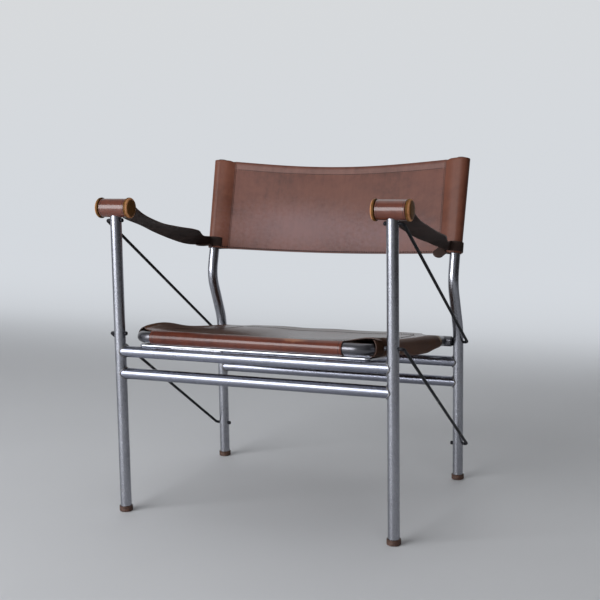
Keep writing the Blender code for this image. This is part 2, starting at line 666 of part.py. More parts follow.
def strap_surface(side):
    """The strap's mid surface: level on the grip, turned on edge where it meets the post.

    Both straps turn the same way, so they are copies of each other and not mirrored.
    """
    begin, end = STRAP_NARROW_SHARES

    def surface(u, v):
        turn = math.radians(STRAP_TURN_DEGREES) * v ** STRAP_TURN_POWER
        narrow = ease((v - begin) / (end - begin))
        width = STRAP_WIDTH + (STRAP_TAIL_WIDTH - STRAP_WIDTH) * narrow
        across = Vector((1, 0, 0)) * math.cos(turn) + lean_axis() * math.sin(turn)
        return strap_point(side, v) + across * width * (u - 0.5)
    return surface


def tail_surface(side):
    """The strap's free end: a tongue that points forward and a little down.

    The right one leans inward. The left one lies straight and flat, clear of the stay's swing.
    """
    tilt = math.radians(TAIL_TILT_DEGREES if side > 0 else TAIL_FLAT_DEGREES)
    inward = TAIL_INWARD if side > 0 else 0.0
    across = Vector((-math.cos(tilt), 0, math.sin(tilt)))
    loop = STRAP_LOOP_BORE + LEATHER / 2
    z = STRAP_LOOP_Z - (STRAP_TAIL_WIDTH / 2 - LEATHER) * math.cos(tilt)
    start = Vector((side * HALF_SPACING - loop / 4, post_y(z) - loop - 2 * GAP, z))

    def surface(u, v):
        past = max(0.0, v - 1 + TAIL_ROUND_SHARE) / TAIL_ROUND_SHARE
        round_end = math.sqrt(max(TAIL_ROUND_SHARE ** 2, 1 - past ** 2))
        neck = TAIL_NECK_SHARE + (1 - TAIL_NECK_SHARE) * ease(v * 4)
        half = STRAP_TAIL_WIDTH / 2 * round_end * neck
        spot = start + Vector((-inward * v, -TAIL_LENGTH * v, -TAIL_DROOP * v * v))
        return spot + across * half * (2 * u - 1)
    return surface


def make_straps():
    for side_name, side in SIDES.items():
        centre = (side * HALF_SPACING, FRONT_Y, GRIP_AXIS_Z)
        wrap = ring_profile(STRAP_BORE, STRAP_OUTER, STRAP_WIDTH)
        strap = turned(f"arm_strap_{side_name}", wrap, STRAP_LEATHER, centre, (1, 0, 0))
        loop = (side * HALF_SPACING, post_y(STRAP_LOOP_Z), STRAP_LOOP_Z)
        loop_ring = ring_profile(STRAP_LOOP_BORE, STRAP_LOOP_RADIUS, STRAP_TAIL_WIDTH)
        join_with(strap, sheet_mesh("strap_run", strap_surface(side), 3, 16, LEATHER))
        extra = turned("strap_loop", loop_ring, None, loop, lean_axis(), home=CUTTERS)
        boolean(strap, as_cutter(extra), 'UNION')
        join_with(strap, sheet_mesh("strap_tail", tail_surface(side), 3, 8, LEATHER))
        room_length = 2 * CUT_OVERRUN
        under = (side * HALF_SPACING, FRONT_Y, GRIP_AXIS_Z - STRAP_BORE)
        cut_with(strap, cylinder_mesh("leg_room", TUBE_FIT_RADIUS, room_length, under, (0, 0, 1)))


# Run

def main():
    make_front_frame()
    make_rear_frame()
    make_feet()
    make_stays()
    make_grips()
    hinge = seat_hinge()
    make_seat_frame(hinge)
    make_seat_sling(hinge)
    make_bail(hinge)
    make_backrest()
    make_straps()


for old in list(bpy.data.objects):
    bpy.data.objects.remove(old)

PARTS = collection("campaign_chair")
CUTTERS = collection("cutters")
STEEL = finish("brushed_steel_tube", (0.30, 0.31, 0.33), 0.34, 1.0)
BRIGHT_STEEL = finish("bright_wire", (0.70, 0.70, 0.71), 0.22, 1.0)
BLACK_STEEL = finish("blackened_steel", (0.030, 0.030, 0.034), 0.45, 0.6)
BLACK_PLASTIC = finish("black_nylon", (0.025, 0.025, 0.025), 0.5)
FOOT_LEATHER = finish("foot_leather", (0.10, 0.045, 0.025), 0.6)
SEAT_LEATHER = finish("seat_leather", (0.17, 0.060, 0.035), 0.42)
BACK_LEATHER = finish("backrest_leather", (0.20, 0.105, 0.085), 0.48)
STRAP_LEATHER = finish("strap_leather", (0.11, 0.045, 0.03), 0.45)
WOOD = finish("turned_wood", (0.42, 0.20, 0.09), 0.4)

main()
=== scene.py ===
# %% [markdown]
# A folding campaign chair. Two steel tube frames are joined by four black wire stays, and a seat,
# a backrest and two arm straps of thick brown leather hang between them. The imported model gives
# every size and place, so the first step loads it.

# %% Load the frame
import bisect
import math

import bmesh
import bpy
from mathutils import Matrix, Vector, noise


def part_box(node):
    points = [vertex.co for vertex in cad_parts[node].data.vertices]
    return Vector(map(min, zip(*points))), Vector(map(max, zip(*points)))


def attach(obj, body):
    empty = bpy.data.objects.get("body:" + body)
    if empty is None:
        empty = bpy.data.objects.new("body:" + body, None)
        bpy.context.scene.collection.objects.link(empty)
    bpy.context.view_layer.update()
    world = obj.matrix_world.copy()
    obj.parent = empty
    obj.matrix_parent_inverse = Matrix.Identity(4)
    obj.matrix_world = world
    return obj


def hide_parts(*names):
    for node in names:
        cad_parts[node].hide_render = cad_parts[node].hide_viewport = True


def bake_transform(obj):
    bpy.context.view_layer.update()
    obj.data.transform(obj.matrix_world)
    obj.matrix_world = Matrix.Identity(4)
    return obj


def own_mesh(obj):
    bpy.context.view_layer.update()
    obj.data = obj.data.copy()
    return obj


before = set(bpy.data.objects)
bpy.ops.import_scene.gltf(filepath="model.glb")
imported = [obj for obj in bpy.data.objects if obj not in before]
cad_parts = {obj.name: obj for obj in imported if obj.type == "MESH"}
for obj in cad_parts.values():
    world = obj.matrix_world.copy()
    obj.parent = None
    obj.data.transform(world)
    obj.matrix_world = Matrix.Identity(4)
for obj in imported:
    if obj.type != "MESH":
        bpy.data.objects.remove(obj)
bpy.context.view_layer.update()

# %% [markdown]
# The frame's own solids say where everything is. A leg's box gives the tube's radius and the
# spacing of the legs, a rail's box gives its height, and so on. Only what a box can't tell, such
# as where the rear post bends, is written again as a named size in metres.

# %% Sizes from the frame
def middle(node):
    """The centre of a node's box."""
    low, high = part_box(node)
    return (low + high) / 2


def size(node):
    """The width, depth and height of a node's box."""
    low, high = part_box(node)
    return high - low


TUBE_R = size("front_leg_right").x / 2
LEG_X = middle("front_leg_right").x
FRONT_Y = middle("front_leg_right").y
REAR_Y = middle("rear_foot_right").y
GRIP_Z = middle("grip_pin_right").z
GRIP_LENGTH = size("grip_spool_right").x
GRIP_R = size("grip_spool_right").y / 2
LEG_TOP_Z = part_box("front_leg_right")[1].z
FOOT_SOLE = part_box("front_leg_right")[0].z
PIVOT_Z = middle("pivot_washer_right").z
STAY_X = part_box("upper_stay_right")[1].x - 0.003
UPPER_STAY_Z = middle("upper_stay_cap_front_right").z
LOWER_STAY_Z = middle("lower_stay_cap_front_right").z
LOWER_REAR_Z = middle("lower_stay_cap_rear_right").z
TUBE_WALL = 0.002
STAY_R = 0.003
GAP = 0.0003
HIDE = 0.0022
SIDES = {"left": -1, "right": 1}
print("legs at x", round(LEG_X, 4), "front y", round(FRONT_Y, 4), "rear y", round(REAR_Y, 4))

# %% [markdown]
# The camera stands where the photographer stood: low, a little to the right of the chair and
# about two and a half metres away, with a lens a little longer than normal and tilted by less
# than a degree. Its axes are built from those three angles.

# %% Camera
CAMERA_PLACE = Vector((0.9004, -2.0968, 0.7097))
CAMERA_AZIMUTH = math.radians(23.10)
CAMERA_ELEVATION = math.radians(7.62)
CAMERA_ROLL = math.radians(-0.867)
LENS_MM = 67.86


def make_camera():
    """A camera that looks along the photograph's axis."""
    turn, rise, roll = CAMERA_AZIMUTH, CAMERA_ELEVATION, CAMERA_ROLL
    back = Vector((math.sin(turn) * math.cos(rise), -math.cos(turn) * math.cos(rise), math.sin(rise)))
    right = Vector((math.cos(turn), math.sin(turn), 0))
    up = back.cross(right)
    tilted_right = right * math.cos(roll) + up * math.sin(roll)
    tilted_up = up * math.cos(roll) - right * math.sin(roll)
    lens = bpy.data.cameras.new("camera")
    lens.lens = LENS_MM
    lens.sensor_width = 36
    camera = bpy.data.objects.new("camera", lens)
    bpy.context.scene.collection.objects.link(camera)
    camera.matrix_world = Matrix.Translation(CAMERA_PLACE) @ Matrix((tilted_right, tilted_up, back)).transposed().to_4x4()
    bpy.context.scene.camera = camera
    return camera


make_camera()
print("camera at", tuple(CAMERA_PLACE))

# %% [markdown]
# Shader maths reads best as plain sums. This small class wraps the output of a node, so that
# adding or multiplying two of them adds a Math node. One method makes every other kind of node.

# %% Shader maths
class Link:
    """A node's output that can be used in sums."""

    def __init__(self, socket):
        self.socket = socket

    def node(self, kind, settings=None, values=None, output=0):
        """Add a node of a kind. Its settings come first, then what its sockets get."""
        tree = self.socket.id_data
        made = tree.nodes.new("ShaderNode" + kind)
        for name, value in (settings or {}).items():
            if name == "stops":
                set_stops(made.color_ramp, value)
            else:
                setattr(made, name, value)
        for name, value in (values or {}).items():
            plug(value, made.inputs[name])
        return Link(made.outputs[output])

    def maths(self, operation, *values):
        return self.node("Math", {"operation": operation}, dict(enumerate(values)))

    def __add__(self, other):
        return self.maths("ADD", self, other)

    def __sub__(self, other):
        return self.maths("SUBTRACT", self, other)

    def __rsub__(self, other):
        return self.maths("SUBTRACT", other, self)

    def __mul__(self, other):
        return self.maths("MULTIPLY", self, other)

    def __truediv__(self, other):
        return self.maths("DIVIDE", self, other)

    __radd__ = __add__
    __rmul__ = __mul__

    def away_from(self, place):
        """How far a value is from a place, without its sign."""
        return self.maths("ABSOLUTE", self - place)

    def rise(self, low, high):
        """0 below low, 1 above high, and a smooth rise between them."""
        return self.node("MapRange", {"interpolation_type": "SMOOTHSTEP"},
                         {"Value": self, "From Min": low, "From Max": high})

    def mix(self, first, second):
        """The colour first where this is 0, and second where it is 1."""
        return self.node("Mix", {"data_type": "RGBA"}, {0: self, 6: first, 7: second}, 2)

    def stretched(self, *scale):
        """This vector with each axis multiplied."""
        return self.node("VectorMath", {"operation": "MULTIPLY"}, {0: self, 1: scale})

    def clouds(self, scale, detail=4.0, roughness=0.55):
        """Noise on this vector, from 0 to 1."""
        return self.node("TexNoise", None, {"Vector": self, "Scale": scale, "Detail": detail, "Roughness": roughness})

    def cells(self, scale, feature="F1"):
        """Distance to the nearest of some scattered points."""
        return self.node("TexVoronoi", {"feature": feature}, {"Vector": self, "Scale": scale})


def plug(value, socket):
    """Link a Link to a socket, or set a number or colour on it."""
    if isinstance(value, Link):
        socket.id_data.links.new(value.socket, socket)
    elif isinstance(value, tuple) and len(value) == 3 and socket.type == 'RGBA':
        socket.default_value = (*value, 1.0)
    else:
        socket.default_value = value


def set_stops(ramp, stops):
    while len(ramp.elements) < len(stops):
        ramp.elements.new(1.0)
    for element, (place, value) in zip(ramp.elements, stops):
        element.position = place
        element.color = (value, value, value, 1.0) if isinstance(value, float) else (*value, 1.0)


def new_finish(name, **constants):
    """A material, its main shader, and the coordinates that its patterns start from."""
    material = bpy.data.materials.new(name)
    material.use_nodes = True
    tree = material.node_tree
    shader = tree.nodes["Principled BSDF"]
    for socket, value in constants.items():
        plug(value, shader.inputs[socket.replace("_", " ").title().replace("Ior", "IOR")])
    flat = Link(tree.nodes.new("ShaderNodeUVMap").outputs[0])
    solid = Link(tree.nodes.new("ShaderNodeTexCoord").outputs["Object"])
    return material, shader, flat, solid


def feed(shader, colour=None, roughness=None, height=None, depth=0.001, strength=1.0, **others):
    """Drive the shader's colour and roughness, and its normal from a height in metres."""
    if colour is not None:
        plug(colour, shader.inputs["Base Color"])
    if roughness is not None:
        plug(roughness, shader.inputs["Roughness"])
    for name, value in others.items():
        plug(value, shader.inputs[name.replace("_", " ").title()])
    if height is not None:
        bump = height.node("Bump", None, {"Height": height, "Distance": depth, "Strength": strength})
        plug(bump, shader.inputs["Normal"])


print("shader helpers ready")

# %% [markdown]
# The tubes are bare steel that was brushed by hand and has since been handled. Brushing leaves
# long fine lines, so the noise is stretched along the tube, and its map is in metres: across is
# round the tube and up is along it. Dark mill specks, soft brown bloom and dull finger marks lie
# over that. The metal's colour stays middling, because its brightness comes from what it reflects.

# %% Brushed steel
def make_steel(name, tint=(0.39, 0.398, 0.435), shine=0.215, bloom=0.4):
    material, shader, flat, solid = new_finish(name, metallic=1.0)
    lines = flat.stretched(1.0, 0.03, 1.0).clouds(2600.0, 3.0, 0.6)
    marks = solid.clouds(16.0, 5.0, 0.62)
    specks = solid.clouds(420.0, 3.0, 0.7).rise(0.70, 0.76) * marks.rise(0.42, 0.62)
    rust = solid.clouds(34.0, 6.0, 0.68).rise(0.60, 0.78)
    grime = solid.clouds(7.0, 4.0, 0.6).rise(0.35, 0.75)
    dark = (tint[0] * 0.62, tint[1] * 0.62, tint[2] * 0.64)
    colour = (grime * 0.38 + lines * 0.18).mix(tint, dark)
    colour = (rust * bloom).mix(colour, (0.16, 0.115, 0.085))
    colour = (specks * 0.85).mix(colour, (0.035, 0.028, 0.025))
    roughness = shine - 0.07 + lines * 0.13 + marks * 0.12 + rust * 0.16 + specks * 0.25
    height = lines * 0.12 - specks * 1.0 + marks * 0.2
    feed(shader, colour, roughness, height, 0.00008, 0.25)
    return material


STEEL = make_steel("brushed_steel")
# A darker, bluer copy of the brushed steel paints the shade on the rails.
SHADED_RAIL_STEEL = make_steel("shaded_rail_steel", (0.285, 0.297, 0.350), 0.215)
# A near-black copy of the brushed steel paints the shade on the seat frame and its pivot tube.
SHADED_SEAT_STEEL = make_steel("shaded_seat_steel", (0.145, 0.145, 0.158), 0.25, 0.3)
BRIGHT = make_steel("bright_wire_steel", (0.60, 0.61, 0.64), 0.18, 0.05)
print("steels:", STEEL.name, BRIGHT.name)

# %% [markdown]
# Weld beads are duller than the tube and a little warm from the heat, with fine ripples. The
# stays and their caps are blackened steel wire whose finish is rubbed through to grey in places.

# %% Weld and blackened steel
def make_weld():
    material, shader, flat, solid = new_finish("weld_bead", metallic=1.0)
    ripple = solid.clouds(260.0, 3.0, 0.6)
    heat = solid.clouds(60.0, 3.0, 0.5).rise(0.4, 0.7)
    colour = heat.mix((0.36, 0.355, 0.36), (0.27, 0.245, 0.225))
    feed(shader, colour, 0.34 + ripple * 0.25, ripple, 0.0004, 0.8)
    return material


def make_black_steel():
    material, shader, flat, solid = new_finish("blackened_steel", metallic=0.85)
    rubbed = solid.clouds(45.0, 5.0, 0.65).rise(0.56, 0.74)
    fine = solid.clouds(700.0, 3.0, 0.6)
    colour = (rubbed * 0.7).mix((0.022, 0.022, 0.026), (0.16, 0.16, 0.17))
    feed(shader, colour, 0.46 - rubbed * 0.12 + fine * 0.12, fine, 0.00005, 0.5)
    return material


WELD = make_weld()
BLACK_STEEL = make_black_steel()
print("darker metals:", WELD.name, BLACK_STEEL.name)

# %% [markdown]
# The leather is thick bridle hide, dyed through, waxed and polished. Close up it has a very fine
# pore grain and shallow pebbles. From a step away the dye lies in soft clouds, handling has
# drawn faint straight streaks, and wax gives a broad sheen, so a thin coat lies over a rougher
# base. Places that rub go paler and tan, and spots of the same shape also paint sheen and shade
# into the colour. Grooves where thread pulls the hide down are straight lines of the leather's
# own flat map, which is in metres, and their darker colour is painted shade.

# %% Leather
def groove(coordinate, place, width=0.0016):
    """1 in the middle of a straight crease at a place on a map axis, and 0 outside it."""
    return 1 - coordinate.away_from(place).rise(0.0, width)


def wear_and_sheen_spot(flat, place, reach, ragged, start=0.75):
    """1 in the middle of a spot of the given half width and half length. A low start makes it soft."""
    apart = flat.node("VectorMath", {"operation": "SUBTRACT"}, {0: flat, 1: (*place, 0.0)})
    across = apart.stretched(1 / reach[0], 1 / reach[1], 0.0)
    distance = across.node("VectorMath", {"operation": "LENGTH"}, {0: across}, "Value")
    return 1 - (distance + ragged * 0.9).rise(start, 1.35)


def within(coordinate, low, high, soft=0.004):
    """1 between two places on a map axis, with soft ends."""
    return coordinate.rise(low - soft, low + soft) * (1 - coordinate.rise(high - soft, high + soft))


def darker(colour, share):
    return tuple(part * share for part in colour)


def make_leather(name, deep, pale, tan, areas=(), creases=(), lines=(), spots=(), dull_spots=(),
                 shine=0.42, coat=0.35, gloss=0.24, sheen=0.2):
    """areas are (low s, high s, low t, high t, colour, share, dulling) on the flat map. Creases, or
    sunk seams, are (axis, place, low, high, depth), and embossed dark lines the same without a depth.
    Spots are (place, reach, colour, share, start), and dull spots (place, reach, share)."""
    material, shader, flat, solid = new_finish(name, coat_roughness=gloss, specular_ior_level=sheen)
    axes = flat.node("SeparateXYZ", None, {"Vector": flat})
    sides = [axes, Link(axes.socket.node.outputs[1])]
    clouds = flat.clouds(9.0, 5.0, 0.6)
    mottle = flat.clouds(75.0, 6.0, 0.62)
    streaks = flat.stretched(1.0, 0.045, 1.0).clouds(420.0, 3.0, 0.6)
    cross_streaks = flat.stretched(0.05, 1.0, 1.0).clouds(330.0, 3.0, 0.6)
    bands = flat.stretched(1.0, 0.10, 1.0).clouds(70.0, 4.0, 0.6) + flat.stretched(0.30, 1.0, 1.0).clouds(26.0, 3.0, 0.5)
    pores = flat.cells(1500.0)
    pebble = flat.cells(520.0, "SMOOTH_F1")
    blend = clouds * 0.6 + mottle * 0.42 + streaks * 0.14 + cross_streaks * 0.03 + bands * 0.3 - 0.37
    blend = blend.rise(0.18, 0.72)
    colour = blend.mix(deep, pale)
    dull = mottle * 0.1
    for low_s, high_s, low_t, high_t, tone, share, dulling in areas:
        mask = within(sides[0], low_s, high_s) * within(sides[1], low_t, high_t)
        dull = dull + mask * dulling
        colour = (mask * share).mix(colour, blend.mix(darker(tone, 0.62), tone))
    colour = (pores.rise(0.0, 0.25) * -0.25 + 0.25).mix(colour, darker(deep, 0.45))
    scuffs = (mottle * 0.6 + streaks * 0.5).rise(0.66, 0.82)
    colour = (scuffs * 0.25).mix(colour, tan)
    ragged = flat.clouds(120.0, 4.0, 0.6) - 0.5
    # Spots paint worn tan patches, and some paint sheen and shadow into the colour.
    for place, reach, tone, share, start in spots:
        colour = (wear_and_sheen_spot(flat, place, reach, ragged, start) * share).mix(colour, tone)
    height = pebble * 0.45 + pores.rise(0.0, 0.35) * 0.25 + mottle * 0.5 + clouds * 0.5
    for place, reach, share in dull_spots:
        dull = dull + wear_and_sheen_spot(flat, place, reach, ragged, 0.1) * share
    # A crease's colour darkens towards the deep tone as painted shade in the groove.
    for axis, place, low, high, sink in creases:
        sunk = groove(sides[axis], place, 0.0035) * within(sides[1 - axis], low, high)
        height = height - sunk * 4.0 * sink
        colour = (sunk * 0.3 * sink).mix(colour, darker(deep, 0.4))
    for axis, place, low, high in lines:
        pressed = groove(sides[axis], place, 0.0010) * within(sides[1 - axis], low, high)
        height = height - pressed * 1.6
        colour = (pressed * 0.8).mix(colour, darker(deep, 0.16))
    roughness = shine - 0.05 + mottle * 0.14 + scuffs * 0.16 + pores.rise(0.0, 0.3) * 0.04 + dull * 0.30
    wax = 1 - dull - scuffs * 0.3
    feed(shader, colour, roughness, height, 0.00022, 0.55, coat_weight=wax.maths("MAXIMUM", wax, 0.0) * coat)
    return material


def make_cut_edge(name, dark, pale):
    """The cut edge of the hide: burnished, darker, and fibrous along its length."""
    material, shader, flat, solid = new_finish(name, coat_weight=0.15, coat_roughness=0.3)
    fibre = solid.clouds(500.0, 4.0, 0.65)
    feed(shader, fibre.rise(0.35, 0.7).mix(dark, pale), 0.5 + fibre * 0.2, fibre, 0.0002, 0.6)
    return material


def make_flesh_side(name, dark, pale):
    """The hide's rough inner side: matt and slightly fuzzy."""
    material, shader, flat, solid = new_finish(name, specular_ior_level=0.25)
    nap = solid.clouds(600.0, 5.0, 0.7)
    stains = solid.clouds(30.0, 4.0, 0.6)
    colour = (nap * 0.5 + stains * 0.5).rise(0.3, 0.75).mix(dark, pale)
    feed(shader, colour, 0.72 + nap * 0.15, nap, 0.0003, 0.6)
    return material


FLESH_SIDE = make_flesh_side("flesh_side", (0.038, 0.022, 0.015), (0.105, 0.062, 0.042))
# The straps' flesh side is darker than the other hides' partly for its dye and partly as painted shade under the
# straps.
STRAP_FLESH_DARK_AND_SHADED = make_flesh_side("strap_flesh_side_dark_and_shaded", (0.015, 0.009, 0.008), (0.058, 0.034, 0.027))
print("leather recipes ready")

# %% [markdown]
# The grips are turned hardwood. Their ends are stained dark, and hands have rubbed the rims back
# to tan wood. Growth rings are stretched noise along the axis, and the stain is a mask of the
# profile's own length, which the map's upper axis holds in metres.

# %% Wood, nylon and thread
def make_wood(rim_start, rim_end):
    """rim_start and rim_end are the lengths along the profile between which the rim is rubbed."""
    material, shader, flat, solid = new_finish("turned_wood", coat_weight=0.02, coat_roughness=0.3, specular_ior_level=0.06)
    along = flat.node("SeparateXYZ", None, {"Vector": flat}, 1)
    grain = solid.stretched(0.10, 1.0, 1.0).clouds(420.0, 5.0, 0.65)
    rings = solid.stretched(0.06, 1.0, 1.0).clouds(95.0, 3.0, 0.5)
    ragged = (solid.clouds(150.0, 4.0, 0.6) - 0.5) * 0.0035
    rubbed = (along + ragged).rise(rim_start - 0.0012, rim_start + 0.0012)
    rubbed = rubbed * (1 - (along + ragged).rise(rim_end - 0.0018, rim_end + 0.0012))
    tan = (grain * 0.6 + rings * 0.5).rise(0.3, 0.8).mix((0.66, 0.33, 0.155), (0.42, 0.17, 0.07))
    stain = (grain * 0.7 + rings * 0.4).rise(0.3, 0.8).mix((0.185, 0.088, 0.022), (0.060, 0.024, 0.008))
    feed(shader, rubbed.mix(stain, tan), 0.36 + grain * 0.2, grain, 0.00012, 0.6)
    return material


def make_nylon():
    material, shader, flat, solid = new_finish("black_nylon")
    speckle = solid.clouds(900.0, 3.0, 0.6)
    feed(shader, speckle.mix((0.018, 0.018, 0.019), (0.035, 0.035, 0.036)), 0.42 + speckle * 0.15, speckle, 0.00005, 0.5)
    return material


def make_thread():
    """Waxed thread of two plies, which show as slanting ridges."""
    material, shader, flat, solid = new_finish("waxed_thread", specular_ior_level=0.2)
    ply = solid.clouds(1500.0, 2.0, 0.5)
    feed(shader, ply.mix((0.012, 0.007, 0.006), (0.034, 0.020, 0.015)), 0.7 + ply * 0.15, ply, 0.0001, 0.8)
    return material


NYLON = make_nylon()
THREAD = make_thread()
print("small finishes:", NYLON.name, THREAD.name)

# %% [markdown]
# Nearly every hard piece here is a row of rings: a tube, a turned grip, a bent wire or a weld
# bead. One function joins rings of points to a mesh and writes a flat map in metres, with the
# distance round the ring and the distance along the row. If the row closes on itself, the piece
# is a tube with a wall, or an endless bead.

# %% Rings to a mesh
def link_mesh(name, mesh, *materials):
    piece = bpy.data.objects.new(name, mesh)
    bpy.context.scene.collection.objects.link(piece)
    for material in materials:
        mesh.materials.append(material)
    return piece


def soften(mesh, sharp=math.radians(38)):
    mesh.shade_smooth()
    mesh.set_sharp_from_angle(angle=sharp)


def loft(name, rings, material, endless=False, caps=True, sharp=math.radians(38)):
    """Join rings of equal count. endless also joins the last ring to the first."""
    shape = bmesh.new()
    layer = shape.loops.layers.uv.new("flat")
    verts = [[shape.verts.new(point) for point in ring] for ring in rings]
    centres = [sum(ring, Vector()) / len(ring) for ring in rings]
    girth = max(sum((a - b).length for a, b in zip(ring, ring[1:] + ring[:1])) for ring in rings)
    pairs = list(zip(range(len(rings)), range(1, len(rings))))
    if endless:
        pairs.append((len(rings) - 1, 0))
    along = 0.0
    for first, second in pairs:
        step = max((a - b).length for a, b in zip(rings[first][:1] + [centres[first]], rings[second][:1] + [centres[second]]))
        count = len(verts[first])
        for index in range(count):
            other = (index + 1) % count
            corners = [verts[first][index], verts[first][other], verts[second][other], verts[second][index]]
            face = shape.faces.new(corners)
            places = [(index, 0), (index + 1, 0), (index + 1, 1), (index, 1)]
            for corner, (around, up) in zip(face.loops, places):
                corner[layer].uv = (girth * around / count, along + step * up)
        along += step
    if caps and not endless:
        shape.faces.new(list(reversed(verts[0])))
        shape.faces.new(verts[-1])
    bmesh.ops.remove_doubles(shape, verts=shape.verts, dist=GAP / 20)
    bmesh.ops.recalc_face_normals(shape, faces=shape.faces)
    mesh = bpy.data.meshes.new(name)
    shape.to_mesh(mesh)
    shape.free()
    soften(mesh, sharp)
    return link_mesh(name, mesh, material)


def circle(centre, right, up, radius, count):
    """A ring of points about centre in the plane of two unit vectors."""
    angles = [2 * math.pi * index / count for index in range(count)]
    return [centre + (right * math.cos(angle) + up * math.sin(angle)) * radius for angle in angles]


def across_of(direction):
    """Two unit vectors square to a direction."""
    side = Vector((0, 0, 1)) if abs(direction.z) < 0.9 else Vector((1, 0, 0))
    right = direction.cross(side).normalized()
    return right, right.cross(direction).normalized()


def rings_along(route, radius, count, radii=None):
    """Rings square to a route, turned with it so that the surface doesn't twist."""
    heading = (route[1] - route[0]).normalized()
    right, up = across_of(heading)
    rings = []
    for index, spot in enumerate(route):
        before = route[max(index - 1, 0)]
        after = route[min(index + 1, len(route) - 1)]
        into = (spot - before).normalized() if index else heading
        out = (after - spot).normalized() if index < len(route) - 1 else into
        new_heading = (into + out).normalized()
        turn = heading.rotation_difference(new_heading)
        right, up, heading = turn @ right, turn @ up, new_heading
        stretch = 1 / max(0.5, heading.dot(into))
        side = into.cross(out)
        size_here = radii[index] if radii else radius
        ring = circle(Vector(), right, up, size_here, count)
        if side.length > 1e-6:
            bend = side.cross(heading).normalized()
            ring = [point + bend * point.dot(bend) * (stretch - 1) for point in ring]
        rings.append([spot + point for point in ring])
    return rings


def rounded_route(corners, radii, steps=10):
    """A route through corners, where each inner corner becomes an arc of its radius."""
    route = [Vector(corners[0])]
    for before, corner, after, radius in zip(corners, corners[1:], corners[2:], radii):
        corner = Vector(corner)
        inward = (Vector(before) - corner).normalized()
        outward = (Vector(after) - corner).normalized()
        turn = math.pi - inward.angle(outward)
        start = corner + inward * radius * math.tan(turn / 2)
        centre = corner + (inward + outward).normalized() * radius / math.cos(turn / 2)
        axis = (start - centre).cross(-inward).normalized()
        for step in range(steps + 1):
            route.append(centre + Matrix.Rotation(turn * step / steps, 3, axis) @ (start - centre))
    route.append(Vector(corners[-1]))
    return route


def tube(name, route, material, radius=TUBE_R, wall=TUBE_WALL, count=48, trim=None):
    """A tube with a wall. trim moves the points of its two end rings, as a coped end needs."""
    outer = rings_along(route, radius, count)
    inner = rings_along(route, radius - wall, count)
    if trim:
        for rings in (outer, inner):
            rings[0] = [trim(point) for point in rings[0]]
            rings[-1] = [trim(point) for point in rings[-1]]
    return loft(name, outer + inner[::-1], material, endless=True)


def lathe(name, profile, centre, axis, material, count=48, endless=False, sharp=math.radians(38)):
    """A turned piece from (radius, height) points. A closed profile makes a ring."""
    axis = Vector(axis).normalized()
    right, up = across_of(axis)
    rings = [circle(Vector(centre) + axis * height, right, up, max(radius, 1e-6), count) for radius, height in profile]
    return loft(name, rings, material, endless=endless, caps=False, sharp=sharp)


def arc_points(centre, radius, start, end, steps):
    """(radius, height) points of an arc for a profile, with angles in degrees."""
    spots = []
    for step in range(steps + 1):
        angle = math.radians(start + (end - start) * step / steps)
        spots.append((centre[0] + radius * math.cos(angle), centre[1] + radius * math.sin(angle)))
    return spots


def cut_away(piece, cutter):
    """Take the cutter's shape out of a piece for good."""
    cut = piece.modifiers.new("cut", 'BOOLEAN')
    cut.object = cutter
    cut.solver = 'EXACT'
    settle(piece)
    bpy.data.objects.remove(cutter)
    return piece


def settle(piece):
    """Turn a piece's modifiers into its own mesh."""
    bpy.context.view_layer.update()
    graph = bpy.context.evaluated_depsgraph_get()
    finished = bpy.data.meshes.new_from_object(piece.evaluated_get(graph), preserve_all_data_layers=True, depsgraph=graph)
    piece.modifiers.clear()
    piece.data = finished
    return piece


print("mesh helpers ready")

# %% [markdown]
# Each piece then joins the frame: it rides on the body that carries it and takes the place of the
# plain solid that the imported model has there.

# %% Joining the frame
def fit(piece, body, slot, *nodes):
    """Ride on a body and stand for some nodes. The slot is not used."""
    if nodes:
        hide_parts(*nodes)
    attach(piece, body)
    return piece


# %% [markdown]
# The front frame is two straight legs with two rails between them. A rail's end is coped, cut to
# the curve of the leg, so that it sits against it all the way round. The end ring of the rail
# can be bent to that curve directly: at each point, the distance from the leg's axis is known
# from a right triangle, which is simpler and cleaner than a Boolean.

# %% Front frame and rails
def leg_holes(piece, y, heights, side):
    """Drill the holes in which the stays turn."""
    for height in heights:
        start = Vector((side * (LEG_X - 0.02), y, height))
        end = Vector((side * (LEG_X + 0.02), y, height))
        cutter = loft("drill", rings_along([start, end], STAY_R + GAP, 24), STEEL)
        cut_away(piece, cutter)
    soften(piece.data)


def make_front_legs():
    for name, side in SIDES.items():
        bottom = Vector((side * LEG_X, FRONT_Y, FOOT_SOLE))
        top = Vector((side * LEG_X, FRONT_Y, LEG_TOP_Z))
        leg = tube(f"steel_front_leg_{name}", [bottom, top], STEEL)
        leg_holes(leg, FRONT_Y, [UPPER_STAY_Z, LOWER_STAY_Z], side)
        fit(leg, "front_frame", "steel_tube", f"front_leg_{name}")


def coped(y, clearance=GAP):
    """Moves an end point of a rail onto the leg's surface."""
    reach = TUBE_R + clearance

    def trim(point):
        inset = math.sqrt(max(reach ** 2 - (point.y - y) ** 2, 0.0))
        return Vector((math.copysign(LEG_X - inset, point.x), point.y, point.z))
    return trim


def make_bead(name, y, z, side, body):
    """The weld's bead in the corner between a rail and its leg, with slow ripples."""
    rings = []
    count = 56
    for index in range(count):
        angle = 2 * math.pi * index / count
        rail_r = TUBE_R + 0.0002
        dy, dz = rail_r * math.cos(angle), rail_r * math.sin(angle)
        inset = math.sqrt(max((TUBE_R + 0.0006) ** 2 - (dy * 0.985) ** 2, 0.0))
        centre = Vector((side * (LEG_X - inset), y + dy, z + dz))
        outward = Vector((0, math.cos(angle), math.sin(angle)))
        bead_r = 0.0015 + 0.00022 * math.sin(index * 2.7) + 0.0001 * math.sin(index * 1.1 + y * 90)
        rings.append(circle(centre, outward, Vector((side, 0, 0)), bead_r, 10))
    bead = loft(name, rings, WELD, endless=True)
    fit(bead, body, "steel_tube")


